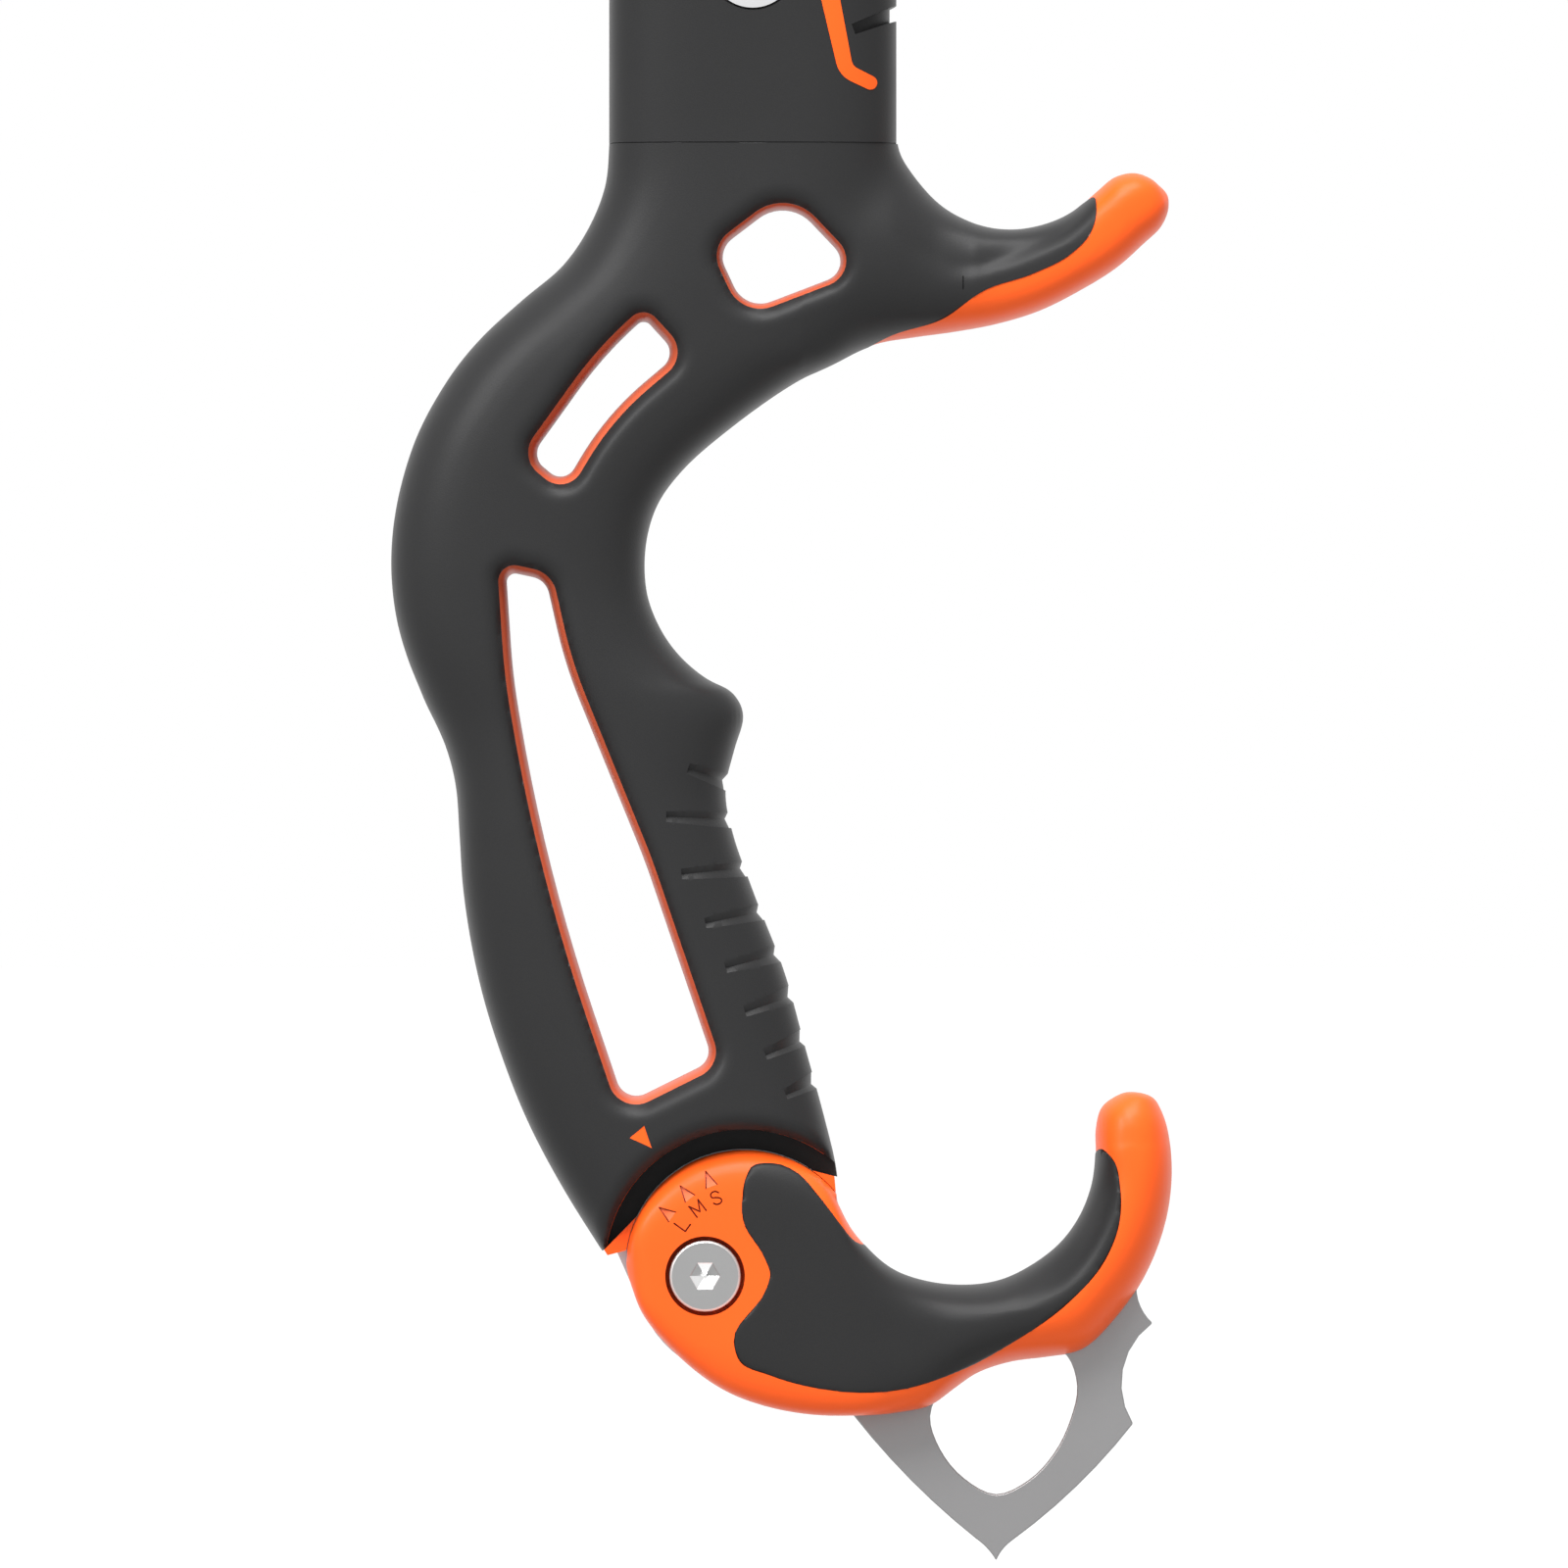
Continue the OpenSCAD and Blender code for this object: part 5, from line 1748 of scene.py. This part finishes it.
        ribs = [
            knuckle(177, (-13.7, -1), half - 3),
            knuckle(160, (-12, -5.4), half - 0.6),
            knuckle(138, (-7.2, -10.9), half),
            knuckle(115, (-2.4, -14.4), half),
            knuckle(92, (2.5, -16.3), half),
            knuckle(70, (8, -17.3), half),
            knuckle(48, (13.5, -17.4), half),
            [18.5, -17, 13.1, 4, half - 0.2, 4.6],
            [22.3, -16.1, 17.7, -0.3, half - 0.5, 3.4],
            [24.8, -14.3, 21.8, -1.7, half - 0.8, 2.7],
            [27.6, -12.4, 26, -2.1, half - 1, 2.4],
            [31.5, -11.1, 30, -1.6, half - 1.2, 2.2],
            [36, -10.5, 33.6, 0, half - 1.4, 2.1],
            [40, -9.7, 36.8, 2.3, half - 1.6, 2.1],
            [44.2, -5.7, 39.4, 5.5, half - 1.8, 2.1],
            [47.6, -0.6, 41, 9.2, half - 2, 2.2],
            [50, 6, 41.6, 13, half - 2.2, 2.3],
            [50.6, 12.3, 41.6, 16.8, half - 2.6, 2.5],
            [50, 17, 42.4, 19.3, half - 3.4, 2.4],
            [48.8, 19.9, 44.6, 20.7, half - 5.5, 2.3],
        ]
        x, z = self.hub
        return [[a + x, b + z, c + x, d + z, *rest] for a, b, c, d, *rest in ribs]

    def on_pommel(self, points: Sequence[Sequence[float]]) -> np.ndarray:
        """Moves points about the pommel's axis to their place."""
        return np.asarray(points, float) + self.hub

    def saddle(self, points: np.ndarray) -> np.ndarray:
        """Draws the hook's sides in along a crease near its inner edge.

        Args:
            points: The pommel's points.

        Returns:
            The moved points.
        """
        crease = self.on_pommel(smooth(self.crease, STEPS))
        away = distance_to(points[:, [0, 2]], crease, False)
        fade = ease(points[:, 0], *(crease[-1, 0] + np.array(self.crease_fade)))
        fade *= 1 - ease(points[:, 2], *(crease[0, 1] + np.array(self.crease_top)))
        return pressed_in(points, self.crease_depth * np.exp(-((away / self.crease_width) ** 2)) * fade)

    def body(self, name: str, shrink: float) -> bpy.types.Object:
        """Lofts the pommel's whole form, drawn in by a distance.

        Args:
            name: The new object's name.
            shrink: How far it is drawn in.

        Returns:
            The new object.
        """
        form = Bench.loft(name, drawn_in(self.ribs, shrink), self.power, self.sides, self.hook_dome)
        rings = []
        for fall, inward in self.drum_edge:
            round_edge = arc(self.hub, self.drum_r - shrink - inward, *self.drum_turn, self.round_steps)
            rings.append(stood(np.vstack([round_edge, [self.hub]]), fall - self.drum_half + shrink))
        rings += [ring * [1, -1, 1] for ring in reversed(rings)]
        body = Bench.join(name, [form, Bench.extrude("drum", rings)])
        Bench.remesh(body, self.body_voxel, self.body_passes)
        Bench.soften(body, *self.on_pommel(self.hook_tip), self.tip_passes)
        Bench.reshape(body, self.saddle)
        return body

    def pad_room(self, name: str, grow: float, floor: float) -> bpy.types.Object:
        """Makes the shape of the pad's bed.

        Args:
            name: The new object's name.
            grow: How far it is larger than the pad's outline.
            floor: How far its floor lies below the pommel's surface.

        Returns:
            The new object.
        """
        outline = inset(self.on_pommel(smooth_loop(self.pad_outline, STEPS)), -grow)
        room = Bench.prism(name, outline)
        Bench.boolean(room, self.body("bed", floor), Cut.AWAY)
        return room

    def lug_room(self) -> bpy.types.Object:
        """Makes the slot in which the core plate's lug turns.

        Returns:
            The tool that cuts it.
        """
        start, end = self.lug_turn
        fan = arc(self.hub, self.lug_mouth_r, start, end, self.round_steps // 2)
        disc = arc(self.hub, self.lug_r, end, start + 360, self.round_steps)
        return Bench.prism("lug_room", np.vstack([fan, disc]), -self.lug_half, self.lug_half)

    def mark(self, angle: float, letter: str, side: Side, surface: SideSurface) -> list[bpy.types.Object]:
        """Makes the tools that engrave one size's arrow and letter.

        Args:
            angle: The mark's place round the axis, in degrees.
            letter: The size's letter.
            side: The side that it is cut into.
            surface: The pommel's side surface.

        Returns:
            The tools.
        """
        turn = math.radians(angle)
        up = np.array([math.cos(turn), math.sin(turn)])
        right = np.array([up[1], -up[0]]) * -side.value
        apex = self.on_pommel(up * self.apex_r)
        base = [self.on_pommel(up * self.base_r + right * s * self.base_half) for s in (1, -1)]
        floor = self.graver(np.array([apex, *base]), np.array(self.arrow_depths), side, surface)
        # The arrow's floor takes the darker orange, painted shade in its recess.
        paint(floor, Finish.ARROW)
        edges = [(np.array([apex, (apex + corner) / 2, corner]), self.arrow_stroke) for corner in base]
        for line in self.letters[letter]:
            path = [up * self.letter_r + (right * u + up * v) * self.letter_h for u, v in line]
            edges.append((self.on_pommel(smooth(path, 4)), self.stroke))
        tools = [floor]
        # The arrows' edge lines and the letters take the dark orange, painted shade in the engraved strokes.
        for path, stroke in edges:
            tools.append(self.graver(thick_line(path, stroke), self.engrave_depth, side, surface))
            paint(tools[-1], Finish.ENGRAVED)
        return tools

    def graver(
        self, outline: Outline, depth: float | np.ndarray, side: Side, surface: SideSurface
    ) -> bpy.types.Object:
        """Makes a tool that cuts an outline into a side.

        Args:
            outline: The outline's points.
            depth: How deep it cuts, at all points or at each.
            side: The side that it cuts.
            surface: The pommel's side surface.

        Returns:
            The tool.
        """
        height = np.array([surface.height(x, z, side) for x, z in outline])
        levels = (height - depth, height + self.graver_clear)
        return Bench.extrude("graver", [stood(outline, side.value * y) for y in levels])

    def build_shells(self) -> None:
        """Models the two orange halves with their marks."""
        whole = self.body("whole", 0.0)
        surface = SideSurface(whole)
        Bench.boolean(whole, self.pad_room("bed_room", self.pad_gap, self.pad_wall), Cut.AWAY)
        low, _, bolt = node_box("pommel_bolt")
        seat = abs(low.y) - self.head_h
        near = [(-THROUGH, self.counterbore_r), (-seat, self.counterbore_r), (-seat, self.bolt_hole_r)]
        profile = near + [(-y, r) for y, r in reversed(near)]
        Bench.boolean(whole, Bench.turned("bolt_hole", bolt, profile), Cut.AWAY)
        Bench.boolean(whole, self.lug_room(), Cut.AWAY)
        for side in Side:
            name = side.name.lower()
            half = Bench.copy(f"pommel_shell_{name}", whole)
            Bench.halve(half, (0, side.value * self.half_gap, 0), (0, side.value, 0))
            paint(half, Finish.ORANGE)
            for angle, letter in zip(self.mark_angles, self.mark_letters):
                for tool in self.mark(angle, letter, side, surface):
                    Bench.boolean(half, tool, Cut.AWAY, "TRANSFER")
            Bench.shade(half)
            hand_over(half, Body.POMMEL, None, f"pommel_{name}")
        bpy.data.objects.remove(whole)

    def build_pad(self) -> None:
        """Models the rubber saddle, a little proud of the shells."""
        pad = self.body("pommel_saddle", -self.pad_proud)
        Bench.boolean(pad, self.pad_room("pad_room", 0.0, self.pad_wall + self.bed_gap), Cut.KEEP)
        Bench.remesh(pad, self.pad_voxel, self.pad_passes)
        Bench.boolean(pad, self.lug_room(), Cut.AWAY)
        Bench.shade(pad, angle=50)
        hand_over(pad, Body.POMMEL, Finish.PAD, "pommel_pad")

    def screw_head(self, name: str, node: str, side: Side) -> None:
        """Models a flat head with a hexagon socket.

        Args:
            name: The piece's name.
            node: The CAD node that it stands for.
            side: The side that the head is on.
        """
        low, high, at = node_box(node)
        top = high.y if side is Side.LEFT else -low.y
        wall, rim = self.head_r, self.rim
        stations = [(self.head_h, wall)]
        stations += [(rim * fall, wall - rim * inward) for fall, inward in self.rim_steps]
        stations.append((0.0, wall * self.face_share))
        head = Bench.turned(name, at, [(side.value * (top - depth), r) for depth, r in stations])
        for finish in (Finish.BRIGHT, Finish.RIM):
            head.data.materials.append(finish.material())
        # Sloping faces round the rim take the paler steel, a painted highlight on the rim.
        for face in head.data.polygons:
            face.material_index = int(self.slopes(face))
        depths = [(side.value * (top - depth), self.socket_r * share) for depth, share in self.socket_depths]
        socket = Bench.turned("socket", at, depths, self.socket_sides)
        for finish in (Finish.SOCKET, Finish.SHADE):
            socket.data.materials.append(finish.material())
        # Sloping faces on every other flank take the darker steel and the rest the bright one: painted shade
        # and painted reflection.
        for face in socket.data.polygons:
            turn = math.degrees(math.atan2(face.center.z / MM - at[1], face.center.x / MM - at[0]))
            flank = turn // (360 / self.socket_sides)
            face.material_index = int(self.slopes(face) and flank % 2 == 0)
        Bench.boolean(head, socket, Cut.AWAY, "TRANSFER")
        Bench.shade(head, angle=20)
        hand_over(head, Body.POMMEL, None, node)

    def slopes(self, face: bpy.types.MeshPolygon) -> bool:
        """Tells whether a face is neither flat across the tool's side nor a straight wall."""
        least, most = self.slope_limits
        return least < abs(face.normal.y) < most

    def build(self, nodes: dict[str, bpy.types.Object]) -> None:
        """Builds the shells, saddle, bolt, nut and spike.

        Args:
            nodes: The CAD nodes by name.
        """
        self.build_shells()
        self.build_pad()
        self.screw_head("pommel_bolt_head", "pommel_bolt", Side.RIGHT)
        self.screw_head("pommel_nut_head", "pommel_nut", Side.LEFT)
        spike = Bench.from_node("spike_plate", nodes["spike"], self.spike_edge)
        hand_over(spike, Body.POMMEL, Finish.BLADE, "spike")
        dress_node(nodes["spike_pins"], Finish.BRIGHT)


@dataclass
class Head:
    """The head block with pick, hammer and their fasteners."""

    edges: dict[str, tuple[str, float, str, Finish]] = field(default_factory=lambda: {
        "head_block": ("head_casting", 0.6, "aluminium", Finish.CASTING),
        "pick": ("pick_blade", 0.35, "steel", Finish.BLADE),
        "hammer": ("hammer_block", 0.7, "head_steel", Finish.FORGED),
        "head_rivets": ("head_rivet_heads", 0.4, "fastener", Finish.BRIGHT),
        "pick_bolt": ("pick_screw", 0.4, "fastener", Finish.BRIGHT),
        "pick_nut": ("pick_screw_nut", 0.4, "fastener", Finish.BRIGHT),
        "hammer_bolt": ("hammer_screw", 0.35, "fastener", Finish.BRIGHT),
        "hammer_nut": ("hammer_screw_nut", 0.35, "fastener", Finish.BRIGHT),
    })

    def build(self, nodes: dict[str, bpy.types.Object]) -> None:
        """Rounds the edges of the head's pieces and dresses them.

        Args:
            nodes: The CAD nodes by name.
        """
        for node, (name, bevel, slot, finish) in self.edges.items():
            piece = Bench.from_node(name, nodes[node], bevel)
            hand_over(piece, Body.TOOL, finish, node)


# Studio


@dataclass(frozen=True)
class Studio:
    """The camera at the photograph's place, soft lamps, white floor and white surroundings."""

    camera_at: tuple[float, float, float] = (20.7, -4000.0, 9.28)
    frame_width: float = 185.6
    sensor: float = 36.0
    sight: float = 100.0
    floor_gap: float = 12.0
    # The floor: its size in metres, its tone in the lamps' light and as it is seen, and its glow
    floor_size: float = 30.0
    floor_tones: tuple[Colour, Colour] = ((0.38, 0.38, 0.38), (0.9, 0.9, 0.9))
    floor_glow: float = 1.1
    glow_share: float = 0.85
    ambient: float = 0.6
    lamps: tuple[tuple[str, tuple[float, float, float], float, float], ...] = (
        ("key", (-0.2, -1.2, 1.5), 0.9, 28.0),
        ("left", (-1.2, -1.24, 1.08), 0.7, 24.0),
        ("top", (0.1, -0.4, 2.0), 1.4, 44.0),
    )

    def camera(self) -> None:
        """Places the camera level, looking across the tool."""
        data = bpy.data.cameras.new("camera")
        data.sensor_width = self.sensor
        data.lens = self.sensor * -self.camera_at[1] / self.frame_width
        data.clip_end = self.sight
        camera = bpy.data.objects.new("camera", data)
        camera.location = Vector(self.camera_at) * MM
        camera.rotation_euler = (math.pi / 2, 0, 0)
        bpy.context.scene.collection.objects.link(camera)
        bpy.context.scene.camera = camera

    def hang_lamps(self) -> None:
        """Hangs soft lamps over the camera, to its left and above the tool."""
        for name, place, size, power in self.lamps:
            data = bpy.data.lights.new(name, "AREA")
            data.shape, data.size, data.energy = "DISK", size, power
            lamp = bpy.data.objects.new(name, data)
            lamp.location = place
            lamp.rotation_euler = (-Vector(place)).to_track_quat("-Z", "Y").to_euler()
            lamp.visible_camera = False
            bpy.context.scene.collection.objects.link(lamp)

    def surroundings(self) -> None:
        """Makes the world white to the camera and in reflections, and softer as light."""
        world = bpy.data.worlds.new("surroundings")
        bpy.context.scene.world = world
        shader = Shader(world)
        seen = self.seen(shader)
        strength = self.ambient + (1 - self.ambient) * seen
        light = {"Color": (1, 1, 1, 1), "Strength": strength}
        shader.end(shader.node("ShaderNodeBackground", None, light))

    @staticmethod
    def seen(shader: Shader) -> Value:
        """Gives 1 to rays from the camera, a mirror or glass.

        Args:
            shader: The shader that asks.

        Returns:
            The share, 0 or 1.
        """
        camera, mirror, glass = (
            shader.node("ShaderNodeLightPath", output=f"Is {kind} Ray")
            for kind in ("Camera", "Glossy", "Transmission")
        )
        return (camera + mirror + glass).at_most(1.0)

    def floor(self) -> None:
        """Lays a white floor that keeps a soft shadow."""
        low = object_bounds()[0].z - self.floor_gap * MM
        Bench.take()
        bpy.ops.mesh.primitive_plane_add(size=self.floor_size, location=(0, 0, low))
        floor = bpy.context.object
        floor.name = "floor"
        shader = Shader(bpy.data.materials.new("floor_white"))
        seen = self.seen(shader)
        matt = shader.node("ShaderNodeBsdfDiffuse", None, {"Color": shader.blend(seen, *self.floor_tones)})
        light = {"Color": (1, 1, 1, 1), "Strength": self.floor_glow}
        glow = shader.node("ShaderNodeEmission", None, light)
        shader.end(shader.node("ShaderNodeMixShader", None, {0: seen * self.glow_share, 1: matt, 2: glow}))
        floor.data.materials.append(shader.owner)
        floor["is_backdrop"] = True

    def build(self) -> None:
        """Sets up the camera, light and floor."""
        bpy.context.scene.view_settings.view_transform = "Standard"
        self.camera()
        self.hang_lamps()
        self.surroundings()
        self.floor()


def main() -> None:
    """Builds the tool's pieces around the frame, in order, and the studio."""
    logging.basicConfig(level=logging.INFO, format="%(name)s: %(message)s")
    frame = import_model()
    nodes = frame["nodes"]
    shaft = Shaft()
    grip = UpperGrip(shaft)
    Studio().build()
    shaft.build()
    grip.build()
    Handle(shaft, grip).build(nodes)
    Pommel().build(nodes)
    Head().build(nodes)


if __name__ == "__main__":
    main()
